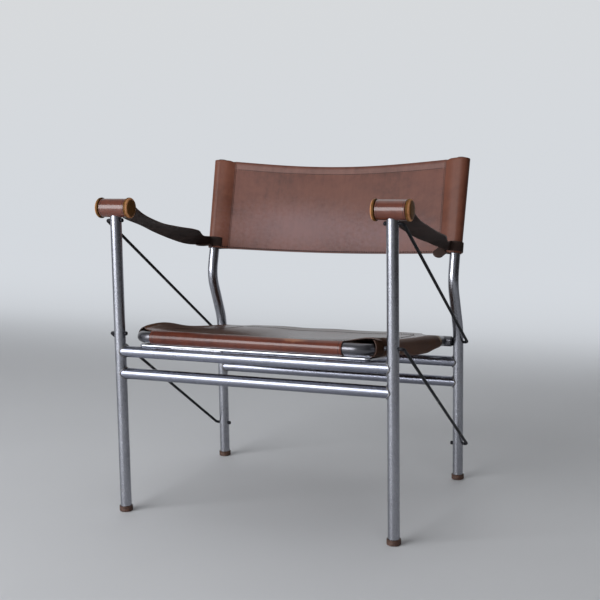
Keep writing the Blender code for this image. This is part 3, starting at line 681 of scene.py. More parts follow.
def make_rails(prefix, y, body):
    for level in ("upper", "lower"):
        node = f"{prefix}_rail_{level}"
        z = middle(node).z
        ends = [Vector((-LEG_X + TUBE_R, y, z)), Vector((LEG_X - TUBE_R, y, z))]
        rail = tube("steel_" + node, ends, SHADED_RAIL_STEEL, trim=coped(y))
        fit(rail, body, "steel_tube", node)
        for name, side in SIDES.items():
            make_bead(f"weld_{node}_{name}", y, z, side, body)


make_front_legs()
make_rails("front", FRONT_Y, "front_frame")
print("front frame done")

# %% [markdown]
# The rear posts rise straight past the seat's pivot, bend forward to hold the sitter's loins and
# then lean back inside the backrest's sleeves. The same helper rounds the two bends.

# %% Rear frame
POST_BEND_Z = 0.325
POST_BULGE_Z = 0.429
POST_TOP_Z = 0.684
POST_BULGE_FORWARD = 0.0437
POST_LEAN_BACK = 0.0246
POST_BEND_RADIUS = 0.10
POST_BULGE_RADIUS = 0.08
LEAN = Vector((0, POST_LEAN_BACK + POST_BULGE_FORWARD, POST_TOP_Z - POST_BULGE_Z)).normalized()
REARWARD = Vector((0, LEAN.z, -LEAN.y))


def post_axis(side, z):
    """The point of the leaning upper part of the post at a height."""
    lean = LEAN.y / LEAN.z
    return Vector((side * LEG_X, REAR_Y + POST_LEAN_BACK - (POST_TOP_Z - z) * lean, z))


def make_rear_posts():
    for name, side in SIDES.items():
        x = side * LEG_X
        corners = [
            (x, REAR_Y, FOOT_SOLE),
            (x, REAR_Y, POST_BEND_Z),
            (x, REAR_Y - POST_BULGE_FORWARD, POST_BULGE_Z),
            (x, REAR_Y + POST_LEAN_BACK, POST_TOP_Z),
        ]
        post = tube(f"steel_rear_post_{name}", rounded_route(corners, [POST_BEND_RADIUS, POST_BULGE_RADIUS], 14), STEEL)
        leg_holes(post, REAR_Y, [PIVOT_Z, LOWER_REAR_Z], side)
        fit(post, "rear_frame", "steel_tube", f"rear_post_{name}")
        top = post_axis(side, POST_TOP_Z)
        stem = TUBE_R - TUBE_WALL - GAP
        plug_profile = [(0, 0.0018), (TUBE_R - 0.0012, 0.0018), (TUBE_R, 0.0009), (TUBE_R, GAP), (stem, GAP), (stem, -0.012), (0, -0.012)]
        cap = lathe(f"post_top_plug_{name}", plug_profile, top, LEAN, NYLON)
        fit(cap, "rear_frame", "black_nylon", f"post_plug_{name}")


make_rear_posts()
make_rails("rear", REAR_Y, "rear_frame")
print("rear frame done, lean", [round(value, 4) for value in LEAN])

# %% [markdown]
# Leather discs cup the four feet. Stacked leather shows as fine rings round the side, and the
# lower edge is rounded and scuffed, so the profile is straight with two shallow lines and a rounded lower edge.

# %% Feet
def make_foot_leather():
    material, shader, flat, solid = new_finish("foot_leather", coat_weight=0.1)
    layers = solid.stretched(0.12, 0.12, 1.0).clouds(900.0, 3.0, 0.6)
    scuffs = solid.clouds(180.0, 5.0, 0.65)
    colour = (layers * 0.6 + scuffs * 0.5).rise(0.35, 0.75).mix((0.030, 0.013, 0.009), (0.110, 0.052, 0.032))
    feed(shader, colour, 0.5 + scuffs * 0.25, layers * 0.6 + scuffs, 0.0004, 0.6)
    return material


FOOT_LEATHER = make_foot_leather()


def make_feet():
    inner = TUBE_R + GAP
    for row, y in (("front", FRONT_Y), ("rear", REAR_Y)):
        for name, side in SIDES.items():
            node = f"{row}_foot_{name}"
            outer = size(node).x / 2
            top = size(node).z
            profile = [(inner, top), (outer - 0.0006, top), (outer, top - 0.0007), (outer, top * 0.66), (outer - 0.0003, top * 0.62)]
            profile += [(outer, top * 0.58), (outer, top * 0.34), (outer - 0.0003, top * 0.30), (outer, top * 0.26)]
            profile += arc_points((outer - 0.0022, 0.0022), 0.0022, 0, -90, 6)
            profile += [(0, 0), (0, FOOT_SOLE - GAP), (inner, FOOT_SOLE - GAP)]
            foot = lathe("leather_" + node, profile, (side * LEG_X, y, 0), (0, 0, 1), FOOT_LEATHER, endless=True)
            fit(foot, f"{row}_frame", "foot_leather", node)


make_feet()
print("feet done")

# %% [markdown]
# Four black wires brace the frames. Each is a rod whose ends turn inward through the tubes. The
# lower pair and the front of the upper pair end in push-on caps, and the rear ends of the upper
# pair carry the seat's pivot tube, with a washer between the tube and the post.

# %% Stays, caps and washers
STAY_BEND = 0.0055
CAP_R = 0.004
CAP_LENGTH = 0.005
CAP_GRIP = 0.003
BUSH_LENGTH = 0.016
WASHER_THICKNESS = 0.003


def make_stays():
    inner = LEG_X - TUBE_R - GAP - CAP_GRIP
    bush = LEG_X - TUBE_R - WASHER_THICKNESS - 2 * GAP - BUSH_LENGTH
    for level, front_z, rear_z, rear_x in (("upper", UPPER_STAY_Z, PIVOT_Z, bush), ("lower", LOWER_STAY_Z, LOWER_REAR_Z, inner)):
        for name, side in SIDES.items():
            corners = [
                (side * inner, FRONT_Y, front_z),
                (side * STAY_X, FRONT_Y, front_z),
                (side * STAY_X, REAR_Y, rear_z),
                (side * rear_x, REAR_Y, rear_z),
            ]
            route = rounded_route(corners, [STAY_BEND, STAY_BEND], 10)
            wire = loft(f"wire_{level}_stay_{name}", rings_along(route, STAY_R, 20), BLACK_STEEL)
            fit(wire, f"{level}_stays", "black_steel", f"{level}_stay_{name}")


def make_caps():
    places = [("upper_stay_cap_front", FRONT_Y, UPPER_STAY_Z), ("lower_stay_cap_front", FRONT_Y, LOWER_STAY_Z)]
    places.append(("lower_stay_cap_rear", REAR_Y, LOWER_REAR_Z))
    dome = arc_points((CAP_R - 0.002, CAP_LENGTH - 0.002), 0.002, 90, 0, 6)
    bore = STAY_R + GAP
    profile = [(0, CAP_LENGTH)] + dome + [(CAP_R, 0.0004), (CAP_R - 0.0004, 0), (bore, 0), (bore, CAP_GRIP + GAP), (0, CAP_GRIP + GAP)]
    for label, y, z in places:
        for name, side in SIDES.items():
            node = f"{label}_{name}"
            centre = (side * (LEG_X - TUBE_R - GAP), y, z)
            cap = lathe("push_cap_" + node, profile, centre, (-side, 0, 0), BLACK_STEEL, 28)
            fit(cap, label.split("_")[0] + "_stays", "black_steel", node)


def ring_of(inner, outer, length, edge=0.0004):
    """A ring's closed profile with small chamfers."""
    half = length / 2
    top = [(inner, half), (outer - edge, half), (outer, half - edge)]
    return top + [(radius, -height) for radius, height in reversed(top)]


def make_pivot_hardware():
    for name, side in SIDES.items():
        washer_x = side * (LEG_X - TUBE_R - GAP - WASHER_THICKNESS / 2)
        washer = lathe(f"washer_{name}", ring_of(STAY_R + GAP, 0.009, WASHER_THICKNESS), (washer_x, REAR_Y, PIVOT_Z), (1, 0, 0), BLACK_STEEL, endless=True)
        fit(washer, "rear_frame", "black_steel", f"pivot_washer_{name}")
        bush_x = side * (LEG_X - TUBE_R - WASHER_THICKNESS - 2 * GAP - BUSH_LENGTH / 2)
        bush = lathe(f"bush_{name}", ring_of(STAY_R + GAP, TUBE_R - TUBE_WALL - GAP, BUSH_LENGTH), (bush_x, REAR_Y, PIVOT_Z), (1, 0, 0), NYLON, endless=True)
        fit(bush, "seat", "black_nylon", f"pivot_bush_{name}")


make_stays()
make_caps()
make_pivot_hardware()
print("stays done")

# %% [markdown]
# The seat frame is one tube bent to a U, welded to a second tube that turns on the stays. It is
# easiest to think about flat, so the seat has its own frame: the origin is on the pivot, local
# -Y runs to the front, and a matrix tilts the result up to where the front rests on its bail.

# %% Seat frame
SEAT_HALF = 0.245
SEAT_CORNER = 0.040
SEAT_REACH = 0.4404
SEAT_TILT = math.radians(7.065)
SEAT_HOME = Matrix.Translation((0, REAR_Y, PIVOT_Z)) @ Matrix.Rotation(-SEAT_TILT, 4, 'X')


def seated(points):
    """Points of the seat's own frame, as places on the chair."""
    return [SEAT_HOME @ Vector(point) for point in points]


def put_seat(piece):
    piece.data.transform(SEAT_HOME)
    return piece


def make_seat_frame():
    pivot_half = LEG_X - TUBE_R - WASHER_THICKNESS - 2 * GAP
    pivot = put_seat(tube("steel_seat_pivot", [Vector((-pivot_half, 0, 0)), Vector((pivot_half, 0, 0))], SHADED_SEAT_STEEL))
    fit(pivot, "seat", "steel_tube", "seat_pivot_tube")
    corners = [(-SEAT_HALF, 0, 0), (-SEAT_HALF, -SEAT_REACH, 0), (SEAT_HALF, -SEAT_REACH, 0), (SEAT_HALF, 0, 0)]
    route = rounded_route(corners, [SEAT_CORNER, SEAT_CORNER], 16)

    def trim(point):
        return Vector((point.x, -math.sqrt(max((TUBE_R + GAP) ** 2 - point.z ** 2, 0.0)), point.z))

    bow = put_seat(tube("steel_seat_bow", route, SHADED_SEAT_STEEL, trim=trim))
    fit(bow, "seat", "steel_tube", "seat_frame_tube")


make_seat_frame()
print("seat frame done, tilt", round(math.degrees(SEAT_TILT), 2))

# %% [markdown]
# Under the seat's front edge lies a bright wire bail with two arms that run back beneath the
# side tubes, and a thin wire clip is laid against it. Both are bent rods.

# %% Bail and clip
BAIL_R = 0.0028
BAIL_HALF = 0.235
BAIL_ARM = 0.085
CLIP_R = 0.001
CLIP_START_X = -0.164
CLIP_LENGTH = 0.107
SLEEVE_R = TUBE_R + GAP + HIDE


def make_bail():
    drop = SLEEVE_R + GAP + BAIL_R
    front = -SEAT_REACH + drop * math.tan(SEAT_TILT)
    back = front + BAIL_ARM
    top = -TUBE_R - GAP
    corners = [(-BAIL_HALF, back, top), (-BAIL_HALF, back, -drop), (-BAIL_HALF, front, -drop)]
    corners += [(-x, y, z) for x, y, z in reversed(corners)]
    wire = loft("bright_bail", rings_along(rounded_route(corners, [0.0032, 0.008, 0.008, 0.0032], 10), BAIL_R, 20), BRIGHT)
    fit(put_seat(wire), "seat", "bright_wire", "seat_bail_wire")
    touch = front - BAIL_R - GAP
    forward = touch - 0.003
    low = -drop - CLIP_R - 0.0012
    end = CLIP_START_X + CLIP_LENGTH
    corners = [(CLIP_START_X, touch, low), (CLIP_START_X, forward, low), (end, forward, low), (end, touch, low)]
    clip = loft("bright_clip", rings_along(rounded_route(corners, [0.0012, 0.0012], 8), CLIP_R, 14), BRIGHT)
    fit(put_seat(clip), "seat", "bright_wire", "seat_bail_clip")


make_bail()
print("bail done")

# %% [markdown]
# The grips are turned across the tops of the front legs. The profile has a nearly flat face, a
# rounded rim and a lower core that the strap's leather wraps, and a hole from below takes the
# leg. The pin through leg and core is hidden under the leather.

# %% Grips
GRIP_RIM = 0.0085
GRIP_CORE_R = 0.0155
GRIP_ROUND = 0.0046


def grip_profile():
    half = GRIP_LENGTH / 2
    edge = arc_points((GRIP_R - GRIP_ROUND, half - GRIP_ROUND - 0.0016), GRIP_ROUND, 72, 0, 9)
    face = [(GRIP_R * share, half - 0.0016 * share ** 2) for share in (0, 0.2, 0.4, 0.55, 0.66)]
    shoulder = half - GRIP_RIM
    inner = [(GRIP_R, shoulder + 0.0006), (GRIP_R - 0.0006, shoulder), (GRIP_CORE_R, shoulder)]
    return face + edge + inner


def make_grips():
    half_profile = grip_profile()
    length = sum(math.dist(a, b) for a, b in zip(half_profile, half_profile[1:]))
    whole = half_profile + [(radius, -height) for radius, height in reversed(half_profile)]
    wood = make_wood(GRIP_R * 0.83, length - 0.0082)
    for name, side in SIDES.items():
        centre = Vector((side * LEG_X, FRONT_Y, GRIP_Z))
        grip = lathe(f"wood_grip_{name}", whole, centre, (1, 0, 0), wood, 64)
        mirror_map(grip, length)
        socket_top = LEG_TOP_Z + GAP
        socket = [Vector((side * LEG_X, FRONT_Y, socket_top)), Vector((side * LEG_X, FRONT_Y, GRIP_Z - 2 * GRIP_R))]
        cut_away(grip, loft("socket", rings_along(socket, TUBE_R + GAP, 48), wood))
        soften(grip.data)
        fit(grip, "front_frame", "turned_wood", f"grip_spool_{name}")


def mirror_map(piece, length):
    """Makes the map's upper axis count from the nearer end face."""
    layer = piece.data.uv_layers["flat"].uv
    far = max(loop.vector.y for loop in layer)
    for loop in layer:
        across, up = loop.vector
        loop.vector = (across, min(up, far - up))


make_grips()
print("grips done")

# %% [markdown]
# Leather pieces are cut flat and then bent, so each is described by a function from the flat cut,
# in metres, to its place on the chair. A grid over the cut is mapped through that function,
# thickened evenly, and its cut edge gets its own darker material and a small rounding.

# %% Hides
def hide_mesh(name, cells, place, thickness, materials, rounding=0.0005):
    """cells are lists of flat corner points; place maps a flat point to its spot in space."""
    shape = bmesh.new()
    layer = shape.loops.layers.uv.new("flat")
    verts = {}
    for cell in cells:
        corners = []
        for flat_spot in cell:
            key = (round(flat_spot[0], 5), round(flat_spot[1], 5))
            if key not in verts:
                verts[key] = shape.verts.new(place(*flat_spot))
            corners.append(verts[key])
        face = shape.faces.new(corners)
        for corner, flat_spot in zip(face.loops, cell):
            corner[layer].uv = flat_spot
    mesh = bpy.data.meshes.new(name)
    shape.to_mesh(mesh)
    shape.free()
    piece = link_mesh(name, mesh, *materials)
    thick = piece.modifiers.new("thickness", 'SOLIDIFY')
    thick.thickness = thickness
    thick.offset = 0.0
    thick.material_offset_rim = 1
    thick.material_offset = 2
    settle(piece)
    if rounding:
        round_rims(piece, rounding)
    soften(piece.data, math.radians(50))
    return piece


def round_rims(piece, rounding):
    """Bevel the edges between a hide's faces and its cut edge."""
    shape = bmesh.new()
    shape.from_mesh(piece.data)
    shape.normal_update()
    rims = [edge for edge in shape.edges if len({face.material_index for face in edge.link_faces}) > 1]
    bmesh.ops.bevel(shape, geom=rims, offset=rounding, segments=2, affect='EDGES', profile=0.5, clamp_overlap=True, material=1)
    shape.to_mesh(piece.data)
    shape.free()


def grid_cells(columns, rows, keep=lambda s, t: True):
    """The cells of a grid whose middles pass a test."""
    cells = []
    for s0, s1 in zip(columns, columns[1:]):
        for t0, t1 in zip(rows, rows[1:]):
            if keep((s0 + s1) / 2, (t0 + t1) / 2):
                cells.append([(s0, t0), (s1, t0), (s1, t1), (s0, t1)])
    return cells


def steps_between(start, end, pitch):
    """Evenly spaced values from start to end, no further apart than pitch."""
    count = max(1, math.ceil(abs(end - start) / pitch))
    return [start + (end - start) * index / count for index in range(count + 1)]


def join_steps(*runs):
    """Runs of values that share their end points, as one list."""
    whole = list(runs[0])
    for run in runs[1:]:
        whole += run[1:]
    return whole


def ease(value):
    value = min(1.0, max(0.0, value))
    return value * value * (3 - 2 * value)


print("hide helpers ready")

# %% [markdown]
# Saddle stitches are short, plump and sunk at both ends. One function lays them along a line on
# the flat cut: it asks the same mapping where the line goes and which way the surface faces, and
# makes each stitch a small loaf that rises out of the hide and dips back in.

# %% Stitches
STITCH_PITCH = 0.0052
STITCH_LENGTH = 0.0038
HEAVY_STITCH_LENGTH = 0.0038
THREAD_R = 0.00046
HEAVY_THREAD_R = 0.00120
HEAVY_PITCH = 0.0052


def facing(place, s, t, outward=1):
    """The surface's normal at a flat point, with a sign to choose the side."""
    reach = 0.0006
    across = place(s + reach, t) - place(s - reach, t)
    along = place(s, t + reach) - place(s, t - reach)
    return across.cross(along).normalized() * outward


def stitches(name, place, line, outward, thickness=HIDE, pitch=STITCH_PITCH, heavy=False):
    """Stitches along a flat line from line[0] to line[1], on the side that outward says."""
    thread_r = HEAVY_THREAD_R if heavy else THREAD_R
    pitch = HEAVY_PITCH if heavy else pitch
    stitch_length = HEAVY_STITCH_LENGTH if heavy else STITCH_LENGTH
    (s0, t0), (s1, t1) = line
    length = math.hypot(s1 - s0, t1 - t0)
    count = max(1, int(length / pitch))
    rises_share = (-0.9, 0.25, 0.75, 0.75, 0.25, -0.9)
    rings_all = []
    for index in range(count):
        middle_share = (index + 0.5) / count
        rings = []
        for step, rise in enumerate(rises_share):
            offset = (step / (len(rises_share) - 1) - 0.5) * stitch_length / length
            share = middle_share + offset
            s, t = s0 + (s1 - s0) * share, t0 + (t1 - t0) * share
            up = facing(place, s, t, outward)
            spot = place(s, t) + up * (thickness / 2 + thread_r * rise)
            beside = place(s + (t1 - t0) / length * 0.001, t - (s1 - s0) / length * 0.001) - place(s, t)
            rings.append(circle(spot, beside.normalized(), up, thread_r, 7))
        rings_all.append(rings)
    shape = bmesh.new()
    for rings in rings_all:
        verts = [[shape.verts.new(point) for point in ring] for ring in rings]
        for first, second in zip(verts, verts[1:]):
            for one in range(len(first)):
                two = (one + 1) % len(first)
                shape.faces.new([first[one], first[two], second[two], second[one]])
        shape.faces.new(verts[0][::-1])
        shape.faces.new(verts[-1])
    bmesh.ops.recalc_face_normals(shape, faces=shape.faces)
    mesh = bpy.data.meshes.new(name)
    shape.to_mesh(mesh)
    shape.free()
    soften(mesh, math.radians(60))
    return link_mesh(name, mesh, THREAD)


print("stitch helper ready")

# %% [markdown]
# The backrest is one hide. Between the posts it hangs in a shallow curve, and at each end it goes
# round its post and is sewn back to itself, so the sleeve's section is a drop: a circle about the
# tube and two straight runs that meet at the seam. Positive s on the flat cut runs to the right,
# and t runs up the leaning post.

# %% Backrest shape
HIDE_R = TUBE_R + GAP + HIDE / 2
BACK_BOTTOM_Z = 0.489
BACK_HEIGHT = (POST_TOP_Z - BACK_BOTTOM_Z) / LEAN.z
BACK_SEAM_X = 0.247
BACK_SEAM_DEPTH = 0.0005
BACK_MIDDLE_DEPTH = 0.0136
BACK_BULGE = 0.0016
BACK_FLARE = 0.0042
BACK_DIP_TOP = 0.0122
BACK_DIP_BOTTOM = 0.0030
BACK_HEM = 0.018
BACK_FLAP = 0.012


def back_bow(x):
    share = (x + LEG_X) / (2 * LEG_X)
    return max(0.0, 4 * share * (1 - share))


def back_depth(x):
    """How far behind the posts' middle plane the hanging panel is."""
    share = max(0.0, 1 - (x / BACK_SEAM_X) ** 2)
    return BACK_SEAM_DEPTH + (BACK_MIDDLE_DEPTH - BACK_SEAM_DEPTH) * share ** 0.9


def back_point(x, depth, t):
    """A point beside the posts: x across, depth behind their plane, and t up the lean."""
    share = t / BACK_HEIGHT
    dip = (BACK_DIP_BOTTOM + (BACK_DIP_TOP - BACK_DIP_BOTTOM) * share) * back_bow(x) ** 1.5
    wave = 0.0009 * noise.noise(Vector((x * 7, t * 9, 3.1))) * back_bow(x)
    base = post_axis(1, BACK_BOTTOM_Z)
    spot = Vector((x, base.y, base.z)) + LEAN * (t - dip) + REARWARD * (depth + wave)
    return spot


def drop_path(seam, radius, depth_at_seam):
    """Angles and lengths of a drop-shaped sleeve about the origin, for a seam at -seam."""
    far = math.hypot(seam, depth_at_seam)
    half = math.acos(radius / far)
    toward = math.atan2(-depth_at_seam, seam)
    return toward + half, 2 * math.pi + toward - half, math.sqrt(far ** 2 - radius ** 2)


BACK_START, BACK_END, BACK_RUN = drop_path(LEG_X - BACK_SEAM_X, HIDE_R, back_depth(BACK_SEAM_X))
BACK_ARC = (BACK_END - BACK_START) * HIDE_R
BACK_EDGES = (BACK_SEAM_X, BACK_SEAM_X + BACK_RUN, BACK_SEAM_X + BACK_RUN + BACK_ARC, BACK_SEAM_X + 2 * BACK_RUN + BACK_ARC)
BACK_CUT_HALF = BACK_EDGES[3] + BACK_FLAP


def back_section(s):
    """(x, depth) of the hide's middle layer for a distance s from the middle of the cut."""
    side = math.copysign(1.0, s)
    s = abs(s)
    seam = Vector((BACK_SEAM_X, back_depth(BACK_SEAM_X)))
    layer = HIDE + GAP
    front = Vector((LEG_X - HIDE_R * math.cos(BACK_START), -HIDE_R * math.sin(BACK_START)))
    rear = Vector((LEG_X - HIDE_R * math.cos(BACK_END), -HIDE_R * math.sin(BACK_END)))
    if s <= BACK_EDGES[0]:
        spot = Vector((s, back_depth(s)))
    elif s <= BACK_EDGES[1]:
        share = (s - BACK_EDGES[0]) / BACK_RUN
        run = front - seam
        spot = seam + run * share + Vector((run.y, -run.x)).normalized() * BACK_BULGE * math.sin(math.pi * share)
    elif s <= BACK_EDGES[2]:
        angle = BACK_START + (s - BACK_EDGES[1]) / HIDE_R
        spot = Vector((LEG_X - HIDE_R * math.cos(angle), -HIDE_R * math.sin(angle)))
    elif s <= BACK_EDGES[3]:
        share = (s - BACK_EDGES[2]) / BACK_RUN
        spot = rear.lerp(seam, share) + Vector((0, layer * ease(share * 1.6 - 0.6)))
    else:
        x = BACK_SEAM_X - (s - BACK_EDGES[3])
        spot = Vector((x, back_depth(x) + layer))
    return side * spot.x, spot.y


def back_place(s, t):
    """The backrest's mapping, with the top edge folded over behind the panel."""
    x, depth = back_section(s)
    fold = (HIDE + GAP) / 2
    turned_over = math.pi * fold
    flare = BACK_FLARE * ease((abs(x) - 0.262) / 0.03) * min(t, BACK_HEIGHT) / BACK_HEIGHT
    x += math.copysign(flare, x)
    lowered = (fold + HIDE / 2) * ease((BACK_SEAM_X + 0.014 - abs(s)) / 0.014)
    if t <= BACK_HEIGHT:
        return back_point(x, depth, t - lowered * ease(t / BACK_HEIGHT * 8 - 7))
    past = t - BACK_HEIGHT
    if past < turned_over:
        angle = past / fold
        return back_point(x, depth + fold * (1 - math.cos(angle)), BACK_HEIGHT - lowered + fold * math.sin(angle))
    return back_point(x, depth + 2 * fold, BACK_HEIGHT - lowered - (past - turned_over))


print("backrest cut", round(2 * BACK_CUT_HALF, 3), "by", round(BACK_HEIGHT, 3))

# %% [markdown]
# The mesh follows the mapping. Its columns are close together round the posts and wider on the
# panel. Above the panel the grid goes on over the fold and down the back, which makes the hem.
# Then a slot is cut on the inner side of each post for the arm strap.

# %% Backrest
STRAP_NECK = 0.0205
STRAP_LOOP_Z = 0.507
LOOP_R = TUBE_R + 3 * GAP + 1.5 * HIDE + GAP
LOOP_REACH = 1.28
LOOP_DROP = 0.0045
TAIL_DROP = 0.0025
SLOT_DROPS = {-1: LOOP_DROP + 0.4 * TAIL_DROP, 1: LOOP_DROP + TAIL_DROP}
BACK_DEEP = (0.051, 0.0160, 0.0096)
BACK_PALE = (0.146, 0.0515, 0.0335)
BACK_TAN = (0.24, 0.12, 0.08)
BACK_SLEEVE = (0.160, 0.055, 0.030)
BACK_LEATHER = make_leather(
    "backrest_leather", BACK_DEEP, BACK_PALE, BACK_TAN,
    areas=[
        (-1.0, -BACK_SEAM_X, -1.0, 1.0, BACK_SLEEVE, 0.6, 0.0), (BACK_SEAM_X, 1.0, -1.0, 1.0, BACK_SLEEVE, 0.6, 0.0),
        # The lighter band along the hem is a painted highlight where the hide turns over the fold.
        (-BACK_SEAM_X, BACK_SEAM_X, BACK_HEIGHT - BACK_HEM, BACK_HEIGHT - 0.004, (0.225, 0.125, 0.105), 0.55, 0.0),
    ],
    creases=[(1, BACK_HEIGHT - BACK_HEM, -BACK_SEAM_X, BACK_SEAM_X, 0.25)],
    lines=[(0, -BACK_SEAM_X, -1.0, 1.0), (0, BACK_SEAM_X, -1.0, 1.0)],
    spots=[
        # The first two spots are painted sheen, pale mauve on the lower panel; the third is a redder patch near the
        # top.
        ((-0.07, 0.055), (0.19, 0.065), (0.25, 0.158, 0.162), 0.46, 0.1),
        ((0.13, 0.040), (0.12, 0.050), (0.23, 0.140, 0.142), 0.40, 0.1),
        ((0.0, 0.140), (0.20, 0.050), (0.145, 0.055, 0.034), 0.35, 0.1),
    ], shine=0.44, coat=0.10)
DARK_EDGE = make_cut_edge("burnished_edge", (0.030, 0.013, 0.009), (0.095, 0.045, 0.030))


def make_backrest():
    side_runs = [
        steps_between(BACK_EDGES[0], BACK_EDGES[1], 0.0030),
        steps_between(BACK_EDGES[1], BACK_EDGES[2], 0.0017),
        steps_between(BACK_EDGES[2], BACK_EDGES[3], 0.0030),
        steps_between(BACK_EDGES[3], BACK_CUT_HALF, 0.0030),
    ]
    right = join_steps(*side_runs)
    left = [-value for value in reversed(right)]
    panel = steps_between(-BACK_SEAM_X, BACK_SEAM_X, 0.0055)
    columns = join_steps(left, panel, right)
    rows = steps_between(0, BACK_HEIGHT, 0.0050)
    cells = grid_cells(columns, rows)
    fold = math.pi * (HIDE + GAP) / 2
    over = join_steps(steps_between(BACK_HEIGHT, BACK_HEIGHT + fold, 0.0007), steps_between(BACK_HEIGHT + fold, BACK_HEIGHT + fold + BACK_HEM + 0.004, 0.005))
    cells += grid_cells(panel, over)
    hide = hide_mesh("leather_backrest", cells, back_place, HIDE, [BACK_LEATHER, DARK_EDGE, FLESH_SIDE])
    for side in SIDES.values():
        centre = post_axis(side, STRAP_LOOP_Z) + Vector((-side * (LOOP_R * LOOP_REACH - 0.0011), 0, 0)) - LEAN * SLOT_DROPS[side]
        half = [Vector((0.0026, 0, 0)), REARWARD * 0.016, LEAN * (STRAP_NECK / 2 + 0.0004)]
        cut_away(hide, box_cutter("slot", centre, half))
    soften(hide.data, math.radians(50))
    fit(hide, "rear_frame", "back_leather", "backrest_sling")
    flat_area = 2 * BACK_CUT_HALF * BACK_HEIGHT
    2 * BACK_CUT_HALF
    flat_area + 2 * BACK_SEAM_X * (BACK_HEM + fold)
    make_back_stitches()
    return hide


def box_cutter(name, centre, half):
    """A box about a centre from three half edges."""
    rings = []
    for end in (-1, 1):
        middle_of = centre + half[1] * end
        rings.append([middle_of + half[0] * a + half[2] * b for a, b in ((-1, -1), (1, -1), (1, 1), (-1, 1))])
    return loft(name, rings, THREAD)


def make_back_stitches():
    rows = {
        "bottom": [((-0.262, 0.0034), (0.262, 0.0034))],
        "hem": [((-0.240, BACK_HEIGHT - BACK_HEM), (0.240, BACK_HEIGHT - BACK_HEM))],
        "seam_left": [((-BACK_SEAM_X + 0.003, 0.006), (-BACK_SEAM_X + 0.003, BACK_HEIGHT - 0.004))],
        "seam_right": [((BACK_SEAM_X - 0.003, 0.006), (BACK_SEAM_X - 0.003, BACK_HEIGHT - 0.004))],
    }
    for name, lines in rows.items():
        for line in lines:
            thread = stitches(f"thread_back_{name}", back_place, line, -facing_sign(), heavy=name == "bottom")
            fit(thread, "rear_frame", "back_leather")


def facing_sign():
    """1 if the mapping's own normal points to the rear at the middle of the panel."""
    return 1 if facing(back_place, 0.0, BACK_HEIGHT / 2).y > 0 else -1


make_backrest()
print("backrest done")

# %% [markdown]
# The seat is cut like a cross: a panel with a flap on each side. Each flap goes round its tube
# and is sewn up under the panel, and the corners between the flaps are cut away on the slant, so
# that the bent steel shows. In the flat cut, s is across and t runs from the front tube's top to
# the pivot tube's top. The side flaps sit loosely and bulge in places, as old leather does.

# %% Seat shape
SEAT_SAG = 0.012
SEAT_SEAM = 0.043
SEAT_FLAP = 0.009
FRONT_LEFT = -0.207
FRONT_RIGHT = 0.187
CORNER_T = 0.050
SIDE_STARTS = {-1: 0.034, 1: 0.0125}
CORNER_CUTS = {-1: 0.005, 1: 0.019}
CORNER_LIPS = {-1: 0.0012, 1: 0.0050}
SIDE_END = 0.392
REAR_WRAP_X = 0.200


def seat_height(x, t):
    """The height of the panel's middle layer over the tubes' plane."""
    u = min(1.0, max(0.0, (x + SEAT_HALF) / (2 * SEAT_HALF)))
    v = min(1.0, max(0.0, t / SEAT_REACH))
    sag = SEAT_SAG * (math.sin(math.pi * u) * math.sin(math.pi * v)) ** 0.85
    hump = 0.0118 * math.exp(-((x + 0.240) / 0.038) ** 2 - ((t - 0.103) / 0.085) ** 2) * ease(t / 0.05)
    swell = 0.0078 * math.exp(-((x - 0.245) / 0.030) ** 2 - ((t - 0.045) / 0.050) ** 2)
    wave = 0.0015 * noise.noise(Vector((x * 11, t * 8, 0.7))) * math.sin(math.pi * u) ** 0.5
    rear = 0.0009 * math.sin(x * 42 + 1.2) * ease((v - 0.72) / 0.2) * math.sin(math.pi * u)
    return HIDE_R - sag + hump + swell + wave + rear


def corner_share(s):
    """0 where the front flap ends and 1 at the side, on either corner."""
    if s > FRONT_RIGHT:
        return (s - FRONT_RIGHT) / (SEAT_HALF - FRONT_RIGHT)
    if s < FRONT_LEFT:
        return (FRONT_LEFT - s) / (SEAT_HALF + FRONT_LEFT)
    return 0.0


def corner_cut(s):
    """Where the panel starts: at the front tube, but further back at the corners."""
    share = min(1.0, corner_share(s))
    if share <= 0:
        return 0.0
    side = 1 if s > 0 else -1
    return SIDE_STARTS[side] * share ** 2 + CORNER_CUTS[side] * math.sin(math.pi * share ** 0.75) ** 0.8


def flap_path(distance, seam_height, slack):
    """(outward, up) of a flap about its tube, distance past the top, with slack under the tube."""
    far = math.hypot(SEAT_SEAM, seam_height)
    toward = 1.5 * math.pi + math.atan2(seam_height, SEAT_SEAM)
    end = toward - math.acos(HIDE_R / far)
    arc = end * HIDE_R
    run = math.sqrt(far ** 2 - HIDE_R ** 2)
    if distance <= arc:
        angle = distance / HIDE_R
        hang = slack * max(0.0, -math.cos(angle)) ** 1.5
        return HIDE_R * math.sin(angle), HIDE_R * math.cos(angle) - hang
    start = Vector((HIDE_R * math.sin(end), HIDE_R * math.cos(end) - slack * max(0.0, -math.cos(end)) ** 1.5))
    seam = Vector((-SEAT_SEAM, seam_height))
    share = min(1.0, (distance - arc) / run)
    spot = start.lerp(seam, share)
    if distance > arc + run:
        spot += Vector((-(distance - arc - run), 0))
    return spot.x, spot.y


def flap_length(seam_height=0.004):
    far = math.hypot(SEAT_SEAM, seam_height)
    end = 1.5 * math.pi + math.atan2(seam_height, SEAT_SEAM) - math.acos(HIDE_R / far)
    return end * HIDE_R + math.sqrt(far ** 2 - HIDE_R ** 2)


def seat_edge(t):
    """Where the side tube runs beside the panel: straight, then round the front corner."""
    turn = max(0.0, (SEAT_CORNER - t) / SEAT_CORNER)
    x = SEAT_HALF - SEAT_CORNER * (1 - math.cos(turn))
    y = -SEAT_REACH + (t if turn == 0 else SEAT_CORNER * (1 - math.sin(turn)))
    return x, y, math.cos(turn), -math.sin(turn)


